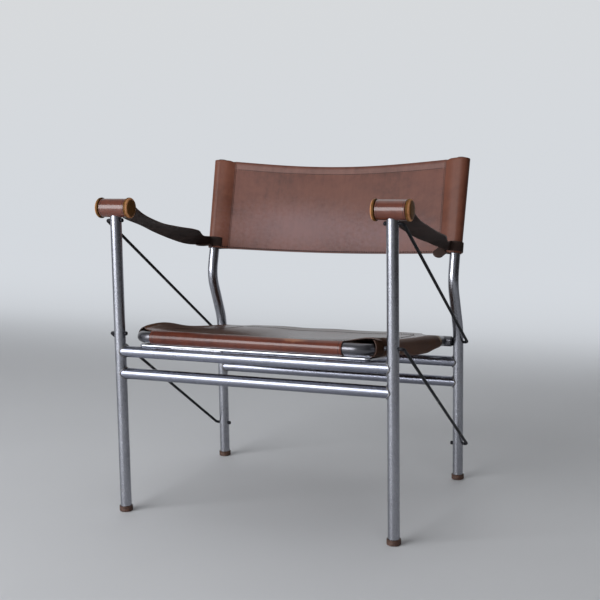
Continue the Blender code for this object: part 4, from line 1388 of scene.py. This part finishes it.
def seat_local(s, t):
    """The seat's mapping in its own frame."""
    x = min(SEAT_HALF, max(-SEAT_HALF, s))
    inside_t = min(SEAT_REACH, max(0.0, t))
    lift = seat_height(x, inside_t)
    under = -(HIDE + GAP)
    edge_x, edge_y, out_x, out_y = seat_edge(inside_t)
    if abs(s) > SEAT_HALF:
        side = math.copysign(1.0, s)
        seam = seat_height(side * (SEAT_HALF - SEAT_SEAM), inside_t) + under
        slack = 0.0075 * ease((inside_t - 0.10) / 0.16) * ease((SIDE_END + 0.005 - inside_t) / 0.09)
        past = abs(s) - SEAT_HALF
        out, up = flap_path(past, seam, slack)
        fade = ease(1 - past / 0.035)
        ripple = 0.0009 * math.sin(inside_t * 560) * ease(1 - (inside_t - SIDE_STARTS[1]) / 0.040) * ease(past / 0.02)
        out += ripple
        spread = out_x if out > 0 else 1.0
        return Vector((side * (edge_x + out * spread), edge_y + max(out, 0.0) * out_y, up + (lift - HIDE_R) * fade))
    share = min(1.0, corner_share(s)) ** 2
    bend = Vector((math.copysign(edge_x - SEAT_HALF, s) * share, (edge_y + SEAT_REACH - inside_t) * share, 0))
    if t < 0:
        seam = seat_height(x, SEAT_SEAM) + under
        out, up = flap_path(-t, seam, 0.0)
        fade = ease(1 + t / 0.020)
        return Vector((x, -SEAT_REACH - out, up + (lift - HIDE_R) * fade))
    if t > SEAT_REACH:
        seam = seat_height(x, SEAT_REACH - SEAT_SEAM) + under
        out, up = flap_path(t - SEAT_REACH, seam, 0.0)
        fade = ease(1 - (t - SEAT_REACH) / 0.020)
        return Vector((x, out, up + (lift - HIDE_R) * fade))
    lip = CORNER_LIPS[1 if s > 0 else -1] * math.sin(math.pi * min(1.0, corner_share(s))) * ease(1 - (t - corner_cut(s)) / 0.034)
    return Vector((x, -SEAT_REACH + t, lift + lip)) + bend


def seat_place(s, t):
    return SEAT_HOME @ seat_local(s, t)


print("seat flap length", round(flap_length(), 4))

# %% Seat leather
SEAT_DEEP = (0.050, 0.0082, 0.0038)
SEAT_PALE = (0.108, 0.0225, 0.0095)
SEAT_TAN = (0.30, 0.125, 0.06)
# The top panel's greyer tone is painted sheen, the grey that the waxed top reflects.
SEAT_TOP_PAINTED_SHEEN = (0.088, 0.047, 0.031)
# The side flaps' darker brown is painted shade.
SEAT_SIDE_SHADE = (0.094, 0.042, 0.020)
SEAT_LEATHER = make_leather(
    "seat_leather", SEAT_DEEP, SEAT_PALE, SEAT_TAN,
    areas=[
        (-SEAT_HALF + 0.012, SEAT_HALF - 0.016, 0.030, SEAT_REACH, SEAT_TOP_PAINTED_SHEEN, 0.85, 0.35),
        (-1.0, -SEAT_HALF + 0.012, -1.0, 1.0, SEAT_SIDE_SHADE, 0.85, 0.85), (SEAT_HALF - 0.016, 1.0, -1.0, 1.0, SEAT_SIDE_SHADE, 0.85, 0.85),
    ],
    creases=[(1, SEAT_SEAM + 0.004, -SEAT_HALF, SEAT_HALF, 1.0), (1, SEAT_REACH - SEAT_SEAM, -SEAT_HALF, SEAT_HALF, 1.0)],
    lines=[(0, FRONT_RIGHT - 0.0065, -1.0, 0.0), (0, FRONT_LEFT + 0.0065, -1.0, 0.0)],
    spots=[
        ((0.092, -0.005), (0.024, 0.007), SEAT_TAN, 0.75, 0.4), ((0.060, -0.002), (0.030, 0.004), SEAT_TAN, 0.35, 0.3),
        ((SEAT_HALF + 0.010, SIDE_END - 0.006), (0.010, 0.010), (0.38, 0.29, 0.20), 0.8, 0.5),
        # This near-black spot at the start of the right flap is a painted shadow.
        ((SEAT_HALF + 0.012, SIDE_STARTS[1] + 0.004), (0.040, 0.016), (0.030, 0.016, 0.010), 0.8, 0.3),
    ],
    dull_spots=[((-0.175, 0.14), (0.15, 0.20), 0.75)],
    shine=0.36, coat=0.95, gloss=0.15, sheen=0.08)


def rear_end(s):
    """Where the panel ends: at the pivot tube, but further forward towards the side flaps."""
    share = min(1.0, max(0.0, (abs(s) - REAR_WRAP_X) / (SEAT_HALF - REAR_WRAP_X)))
    return SEAT_REACH - (SEAT_REACH - SIDE_END) * math.sin(share * math.pi / 2) ** 0.8


def warped_cells(columns, shares, start, end):
    """Cells whose rows run between two lines that change from column to column."""
    cells = []
    for s0, s1 in zip(columns, columns[1:]):
        for r0, r1 in zip(shares, shares[1:]):
            corners = [(s0, r0), (s1, r0), (s1, r1), (s0, r1)]
            cells.append([(s, start(s) + (end(s) - start(s)) * r) for s, r in corners])
    return cells


def make_seat():
    end = flap_length() + SEAT_FLAP
    flap = steps_between(0, end, 0.0028)
    left_x = steps_between(-SEAT_HALF, FRONT_LEFT, 0.0032)
    middle_x = steps_between(FRONT_LEFT, FRONT_RIGHT, 0.0060)
    right_x = steps_between(FRONT_RIGHT, SEAT_HALF, 0.0032)
    all_x = join_steps(left_x, middle_x, right_x)
    rear_t = SIDE_END - 0.020
    cells = warped_cells(all_x, steps_between(0, 1, 0.08), corner_cut, lambda s: CORNER_T)
    cells += grid_cells(all_x, steps_between(CORNER_T, rear_t, 0.0055))
    cells += warped_cells(all_x, steps_between(0, 1, 0.08), lambda s: rear_t, rear_end)
    cells += grid_cells(middle_x, [-value for value in reversed(flap)])
    rear_x = [value for value in all_x if abs(value) <= REAR_WRAP_X]
    cells += grid_cells(rear_x, [SEAT_REACH + value for value in flap])
    for side in SIDES.values():
        columns = sorted(side * (SEAT_HALF + value) for value in flap)
        cells += warped_cells(columns, steps_between(0, 1, 0.08), lambda s: SIDE_STARTS[1 if s > 0 else -1], lambda s: CORNER_T)
        cells += grid_cells(columns, steps_between(CORNER_T, rear_t, 0.0055))
        cells += warped_cells(columns, steps_between(0, 1, 0.08), lambda s: rear_t, lambda s: SIDE_END)
    hide = hide_mesh("leather_seat", cells, seat_place, HIDE, [SEAT_LEATHER, DARK_EDGE, FLESH_SIDE])
    fit(hide, "seat", "seat_leather", "seat_sling")
    area = sum(polygon_area(cell) for cell in cells)
    make_seat_stitches()
    print("seat cut area", round(area, 4))


def polygon_area(corners):
    pairs = zip(corners, corners[1:] + corners[:1])
    return abs(sum(a[0] * b[1] - b[0] * a[1] for a, b in pairs)) / 2


def make_seat_stitches():
    up = 1 if facing(seat_place, 0.0, 0.2).z > 0 else -1
    lines = {
        "front": ((FRONT_LEFT + 0.004, SEAT_SEAM + 0.004), (FRONT_RIGHT - 0.004, SEAT_SEAM + 0.004)),
        "rear": ((-REAR_WRAP_X + 0.004, SEAT_REACH - SEAT_SEAM), (REAR_WRAP_X - 0.004, SEAT_REACH - SEAT_SEAM)),
        "left": ((-SEAT_HALF + SEAT_SEAM + 0.002, SEAT_SEAM + 0.012), (-SEAT_HALF + SEAT_SEAM + 0.002, SEAT_REACH - SEAT_SEAM - 0.010)),
        "right": ((SEAT_HALF - SEAT_SEAM - 0.002, SEAT_SEAM + 0.012), (SEAT_HALF - SEAT_SEAM - 0.002, SEAT_REACH - SEAT_SEAM - 0.010)),
    }
    for name, line in lines.items():
        thread = stitches(f"thread_seat_{name}", seat_place, line, up)
        fit(thread, "seat", "seat_leather")


make_seat()
print("seat done")

# %% [markdown]
# An arm strap starts round its grip, falls steeply behind it and hangs back to the post in a
# long shallow curve. There it narrows at a shoulder, turns on edge, crosses the front of the
# sleeve, goes round behind the post and ends in a tongue. Both straps go round the same way,
# so they are copies and not mirror images. The flat length is one coordinate, so the path is a
# chain of parts: wrap, run, loop and tongue. The run's line is a few (behind, below) distances
# from the grip's axis, and its twist is a few (share, degrees) pairs for each side.

# %% Strap shape
STRAP_WIDTH = 0.055
STRAP_R = GRIP_CORE_R + GAP + HIDE / 2
LEAVE_ANGLE = math.radians(45)
LEAVE_SLOPE = 1.0
RUN_LINE = [(0.030, 0.0015), (0.060, 0.0175), (0.100, 0.0310), (0.188, 0.0540), (0.268, 0.0715), (0.340, 0.0870)]
RUN_TURNS = {
    -1: [(0.0, 0), (0.2, 3), (0.35, 2), (0.5, 15), (0.65, 24), (0.74, 27), (0.82, 42), (0.92, 68), (1.0, 90)],
    1: [(0.0, 0), (0.2, 1), (0.4, 4), (0.6, 6), (0.74, 10), (0.84, 24), (0.93, 54), (1.0, 90)],
}
SHOULDERS = {-1: (0.284, 0.374), 1: (0.232, 0.364)}
SHOULDER_SINK = {-1: 0.5, 1: 0.55}
TAILS = {-1: (0.076, -0.0095, 0.0, -0.002, 8), 1: (0.060, 0.0, 0.007, 0.012, 30)}
WRAP_TURN = math.radians(318)
WRAP_LENGTH = WRAP_TURN * STRAP_R
LOOP_START = math.radians(64)
LOOP_END = math.radians(350)
LOOP_LENGTH = (LOOP_END - LOOP_START) * LOOP_R * 1.06


def loop_point(side, angle, lower=0.0):
    """A point of the loop. 0 degrees is at -X, 90 the front, and the inboard side reaches further."""
    centre = post_axis(side, STRAP_LOOP_Z) - LEAN * lower
    reach = LOOP_R * (LOOP_REACH if -math.cos(angle) * side < 0 else 1.0)
    return centre + Vector((-math.cos(angle) * reach, 0, 0)) - REARWARD * math.sin(angle) * LOOP_R


def smooth_line(points, count=24):
    """A curve through points, with each stretch bent by its neighbours."""
    spots = [points[0] * 2 - points[1]] + points + [points[-1] * 2 - points[-2]]
    line = []
    for a, b, c, d in zip(spots, spots[1:], spots[2:], spots[3:]):
        for step in range(count):
            t = step / count
            line.append(0.5 * (2 * b + (c - a) * t + (2 * a - 5 * b + 4 * c - d) * t * t + (3 * b - a - 3 * c + d) * t ** 3))
    return line + [points[-1]]


def make_run(side):
    """The strap's middle line from the grip to the post, with its length so far at each point."""
    grip = Vector((side * LEG_X, FRONT_Y, GRIP_Z))
    start = grip + Vector((0, math.sin(LEAVE_ANGLE), math.cos(LEAVE_ANGLE))) * STRAP_R
    end = loop_point(side, LOOP_START, LOOP_DROP)
    points = [start] + [grip + Vector((0, behind, -below)) for behind, below in RUN_LINE]
    points[-1].x += (end.x - start.x) * 0.4
    line = smooth_line(points + [end])
    lengths = [0.0]
    for a, b in zip(line, line[1:]):
        lengths.append(lengths[-1] + (b - a).length)
    return line, lengths


RUNS = {side: make_run(side) for side in SIDES.values()}
RUN_LENGTH = RUNS[1][1][-1]
STRAP_PARTS = (WRAP_LENGTH, WRAP_LENGTH + RUN_LENGTH, WRAP_LENGTH + RUN_LENGTH + LOOP_LENGTH)
print("strap run", round(RUN_LENGTH, 3), "left", round(RUNS[-1][1][-1], 3))


def run_point(side, share):
    line, lengths = RUNS[side]
    wanted = share * lengths[-1]
    index = min(bisect.bisect_right(lengths, wanted), len(lengths) - 1)
    part = (wanted - lengths[index - 1]) / (lengths[index] - lengths[index - 1])
    return line[index - 1].lerp(line[index], part)


def table_value(table, share):
    """A straight reading between the (place, value) pairs of a table."""
    for (a, first), (b, second) in zip(table, table[1:]):
        if share <= b:
            return first + (second - first) * (share - a) / (b - a)
    return table[-1][1]


def smooth_value(table, share, reach=0.05):
    """A table's value, averaged over a short reach so that it has no kinks."""
    reach = min(reach, 1 - share)
    spots = [max(0.0, share + reach * (index / 4 - 1)) for index in range(9)]
    return sum(table_value(table, spot) for spot in spots) / len(spots)


# %% [markdown]
# Each part gives a middle point and the direction of the strap's width there. On the grip the
# width lies along the grip. On the run it turns on edge, and on the loop it follows the post. On
# the tongue it lies back again. The right tongue leans inward, and the left one lies flat under
# its strap, clear of the stay that swings past it. The numbers of a tongue are its length, its
# move across, inward lean, droop and tilt.

# %% Strap frame and width
def strap_middle(side, t):
    if t <= STRAP_PARTS[0]:
        angle = WRAP_TURN - t / STRAP_R - LEAVE_ANGLE
        return Vector((side * LEG_X, FRONT_Y, GRIP_Z)) + Vector((0, -math.sin(angle), math.cos(angle))) * STRAP_R
    if t <= STRAP_PARTS[1]:
        return run_point(side, (t - STRAP_PARTS[0]) / RUN_LENGTH)
    length, across, inward, droop, tilt = TAILS[side]
    if t <= STRAP_PARTS[2]:
        share = (t - STRAP_PARTS[1]) / LOOP_LENGTH
        return loop_point(side, LOOP_START + (LOOP_END - LOOP_START) * share, LOOP_DROP + TAIL_DROP * ease(share))
    share = (t - STRAP_PARTS[2]) / TAIL_REACH
    start = loop_point(side, LOOP_END, LOOP_DROP + TAIL_DROP)
    return start + Vector((-across * ease(share * 3) - inward * share, -length * share, -droop * share ** 1.5))


TAIL_REACH = 0.070


def strap_across(side, t):
    level = Vector((1, 0, 0))
    if t <= STRAP_PARTS[0]:
        return level
    if t <= STRAP_PARTS[1]:
        turn = math.radians(smooth_value(RUN_TURNS[side], (t - STRAP_PARTS[0]) / RUN_LENGTH))
        return level * math.cos(turn) + LEAN * math.sin(turn)
    if t <= STRAP_PARTS[2]:
        return LEAN
    tilt = math.radians(TAILS[side][4])
    share = ease((t - STRAP_PARTS[2]) / (TAIL_REACH * 0.45))
    return LEAN.lerp(Vector((-math.cos(tilt), 0, math.sin(tilt))), share).normalized()


def strap_width(side, t):
    first, last = SHOULDERS[side]
    width = STRAP_WIDTH + (STRAP_NECK - STRAP_WIDTH) * ease((t - STRAP_PARTS[0] - first) / (last - first))
    if t > STRAP_PARTS[2]:
        share = (t - STRAP_PARTS[2]) / TAIL_REACH
        neck = 0.80 + 0.24 * ease(share * 2.2)
        end = max(0.0, share - 0.74) / 0.26
        width = STRAP_NECK * neck * math.sqrt(max(0.0, 1 - end ** 2))
    return width


def strap_place(side):
    """The mapping for one side: s across the full width, and t along the strap."""
    def place(s, t):
        share = s / STRAP_WIDTH
        run_share = min(1.0, max(0.0, (t - STRAP_PARTS[0]) / RUN_LENGTH))
        crown = 0.0022 * math.sin(math.pi * run_share) * (1 - (2 * share) ** 2)
        wave = 0.0005 * math.sin(t * 60 + side) * share * math.sin(math.pi * run_share)
        width = strap_width(side, t)
        narrowed = (STRAP_WIDTH - width) / 2 * SHOULDER_SINK[side] * math.sin(math.pi * ease(run_share)) if run_share < 1 else 0.0
        return strap_middle(side, t) + strap_across(side, t) * (width * share - narrowed) + Vector((0, 0, crown + wave))
    return place


STRAP_LENGTH = STRAP_PARTS[2] + TAIL_REACH
print("strap length", round(STRAP_LENGTH, 3))

# %% [markdown]
# When the chair folds, the grips rise and come back over the posts, and the strap has to hang
# straight down between leg and post. So it is made in five pieces of one hide: the front, the
# middle, the neck, the loop and the tongue. The loop and the tongue ride with the post.

# %% Straps
STRAP_DEEP = (0.070, 0.016, 0.0085)
STRAP_PALE = (0.140, 0.038, 0.020)
STRAP_TAN = (0.26, 0.13, 0.075)
STRAP_LEATHER = make_leather(
    "strap_leather", STRAP_DEEP, STRAP_PALE, STRAP_TAN,
    areas=[
        (-1.0, 1.0, STRAP_PARTS[1] - 0.1, STRAP_LENGTH + 0.01, (0.045, 0.026, 0.020), 0.9, 0.8),
        # The tongue's paler, greyer top is painted sheen.
        (-1.0, 1.0, STRAP_PARTS[2] + 0.012, STRAP_LENGTH + 0.01, (0.105, 0.074, 0.064), 0.85, 0.0),
    ],
    lines=[(0, -STRAP_WIDTH / 2 + 0.0035, -1.0, WRAP_LENGTH), (0, STRAP_WIDTH / 2 - 0.0035, -1.0, WRAP_LENGTH)],
    shine=0.28, coat=0.9, gloss=0.16)
FRONT_SPLIT = WRAP_LENGTH + 0.042
NECK_SPLIT_Y = 0.090


def leg_hole(side):
    route = [Vector((side * LEG_X, FRONT_Y, GRIP_Z)), Vector((side * LEG_X, FRONT_Y, GRIP_Z - 0.04))]
    return loft("leg_hole", rings_along(route, TUBE_R + GAP, 48), THREAD)


def cut_area(side, start, end):
    """The flat area of a stretch of the strap."""
    steps = steps_between(start, end, 0.001)
    return sum(strap_width(side, (a + b) / 2) * (b - a) for a, b in zip(steps, steps[1:]))


def split_at(side, y):
    """How far along the strap its middle line reaches a depth."""
    low, high = FRONT_SPLIT, STRAP_PARTS[1]
    for _ in range(40):
        mid = (low + high) / 2
        low, high = (mid, high) if strap_middle(side, mid).y < y else (low, mid)
    return low


def strap_rows(side, start, end):
    """Rows along the strap, closer together where it bends or narrows."""
    marks = [0.0, WRAP_LENGTH, STRAP_PARTS[0] + SHOULDERS[side][0], STRAP_PARTS[0] + SHOULDERS[side][1], STRAP_PARTS[1], STRAP_PARTS[2], STRAP_LENGTH]
    pitches = [0.0018, 0.0045, 0.0022, 0.0025, 0.0020, 0.0020]
    rows = [start]
    for low, high, pitch in zip(marks, marks[1:], pitches):
        low, high = max(low, start), min(high, end)
        if high - low > 1e-5:
            rows += steps_between(low, high, pitch)[1:]
    return rows


def make_straps():
    columns = steps_between(-STRAP_WIDTH / 2, STRAP_WIDTH / 2, 0.0023)
    for name, side in SIDES.items():
        place = strap_place(side)
        neck = split_at(side, NECK_SPLIT_Y)
        front_y = strap_middle(side, FRONT_SPLIT).y
        bends = {
            "front": (0.0, FRONT_SPLIT, "front_frame", "upper_stays", FRONT_Y + 0.004, front_y),
            "middle": (FRONT_SPLIT, neck, "upper_stays", "rear_frame", front_y, 0.317),
            "neck": (neck, STRAP_PARTS[1], "upper_stays", "rear_frame", 0.0078, 0.160),
            "loop": (STRAP_PARTS[1], STRAP_PARTS[2], None, None, 0, 0),
            "tongue": (STRAP_PARTS[2], STRAP_LENGTH - 0.0004, None, None, 0, 0),
        }
        for label, (start, end, first, second, low_y, high_y) in bends.items():
            cells = grid_cells(columns, strap_rows(side, start, end))
            piece = hide_mesh(f"leather_strap_{label}_{name}", cells, place, HIDE, [STRAP_LEATHER, DARK_EDGE, STRAP_FLESH_DARK_AND_SHADED], 0.0004)
            if label == "front":
                cut_away(piece, leg_hole(side))
                soften(piece.data, math.radians(50))
                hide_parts(f"arm_strap_{name}")
            if first:
                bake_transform(piece)
            else:
                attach(piece, "rear_frame")
            if label == "tongue":
                tuple(strap_middle(side, STRAP_PARTS[2]))
                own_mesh(piece)
            width = max(strap_width(side, row) for row in strap_rows(side, start, end))
            area = cut_area(side, start, end)
            end - start
        print(name, "strap split at", round(neck, 4))


make_straps()

# %% [markdown]
# The chair stands on a plain pale floor that curves up into a backdrop, in soft studio light. A
# large soft lamp on the left gives the tubes their bright line, as the window does, and weaker
# ones keep the shadows open.

# %% Floor and light
def glow_behind(material, shader, solid):
    """The backdrop behind the chair glows softly, like a wall in daylight. The floor doesn't."""
    nodes, links = material.node_tree.nodes, material.node_tree.links
    rays = nodes.new("ShaderNodeLightPath")
    seen = Link(rays.outputs["Is Camera Ray"]) + Link(rays.outputs["Is Glossy Ray"]) + Link(rays.outputs["Is Transmission Ray"])
    axes = solid.node("SeparateXYZ", None, {"Vector": solid})
    right, back, up = (Link(axes.socket.node.outputs[index]) for index in range(3))
    place = back.rise(0.9, 2.6) * (1 - right.rise(0.3, 0.95))
    glow = nodes.new("ShaderNodeEmission")
    plug(up.rise(0.0, 2.6).mix((0.66, 0.69, 0.73), (0.69, 0.70, 0.705)), glow.inputs["Color"])
    blend = nodes.new("ShaderNodeMixShader")
    plug(seen.maths("MINIMUM", seen, 1.0) * place, blend.inputs[0])
    links.new(shader.outputs[0], blend.inputs[1])
    links.new(glow.outputs[0], blend.inputs[2])
    links.new(blend.outputs[0], nodes["Material Output"].inputs["Surface"])


def make_stage():
    material, shader, flat, solid = new_finish("pale_floor")
    clouds = solid.clouds(1.6, 4.0, 0.5)
    feed(shader, clouds.mix((0.56, 0.57, 0.58), (0.62, 0.63, 0.64)), 0.55 + clouds * 0.1)
    glow_behind(material, shader, solid)
    left, right, near, far, tall, bend = -7.0, 2.8, -5.0, 3.2, 5.0, 1.2
    profile = [(near, 0.0), (far - bend, 0.0)]
    for step in range(1, 13):
        angle = math.pi / 2 * step / 12
        profile.append((far - bend + bend * math.sin(angle), bend - bend * math.cos(angle)))
    profile.append((far, tall))
    shape = bmesh.new()
    rows = [[shape.verts.new((x, y, z)) for x in (left, right)] for y, z in profile]
    for first, second in zip(rows, rows[1:]):
        shape.faces.new([first[0], first[1], second[1], second[0]])
    mesh = bpy.data.meshes.new("stage")
    shape.to_mesh(mesh)
    shape.free()
    mesh.shade_smooth()
    link_mesh("stage", mesh, material)


def make_lamp(name, place, target, width, height, watts, colour=(1, 1, 1)):
    lamp = bpy.data.lights.new(name, 'AREA')
    lamp.shape = 'RECTANGLE'
    lamp.size = width
    lamp.size_y = height
    lamp.energy = watts
    lamp.color = colour
    holder = bpy.data.objects.new(name, lamp)
    bpy.context.scene.collection.objects.link(holder)
    holder.location = place
    holder.rotation_euler = (Vector(target) - Vector(place)).to_track_quat('-Z', 'Y').to_euler()
    return holder


def make_world():
    """Soft light from all round that falls off towards the right."""
    world = bpy.data.worlds.new("studio")
    world.use_nodes = True
    background = world.node_tree.nodes["Background"]
    way = Link(world.node_tree.nodes.new("ShaderNodeTexCoord").outputs["Generated"])
    rightward = way.node("VectorMath", {"operation": "DOT_PRODUCT"}, {0: way, 1: (0.95, 0.31, 0.0)}, "Value")
    colour = rightward.rise(0.05, 0.7).mix((0.30, 0.305, 0.32), (0.045, 0.043, 0.043))
    plug(colour, background.inputs["Color"])
    bpy.context.scene.world = world


def make_light():
    make_lamp("window", (-1.75, -3.0, 1.35), (0, 0, 0.4), 3.1, 2.1, 136, (0.96, 0.97, 1.0))
    fill = make_lamp("fill", (2.4, -2.8, 1.6), (0, 0, 0.4), 1.4, 1.4, 12, (1.0, 0.96, 0.92))
    fill.visible_glossy = False
    make_lamp("overhead", (0.0, 0.6, 2.9), (0, 0, 0.3), 2.4, 2.4, 10)
    make_world()


make_stage()
make_light()
bpy.context.scene.view_settings.view_transform = 'Standard'
print("stage and lights done")
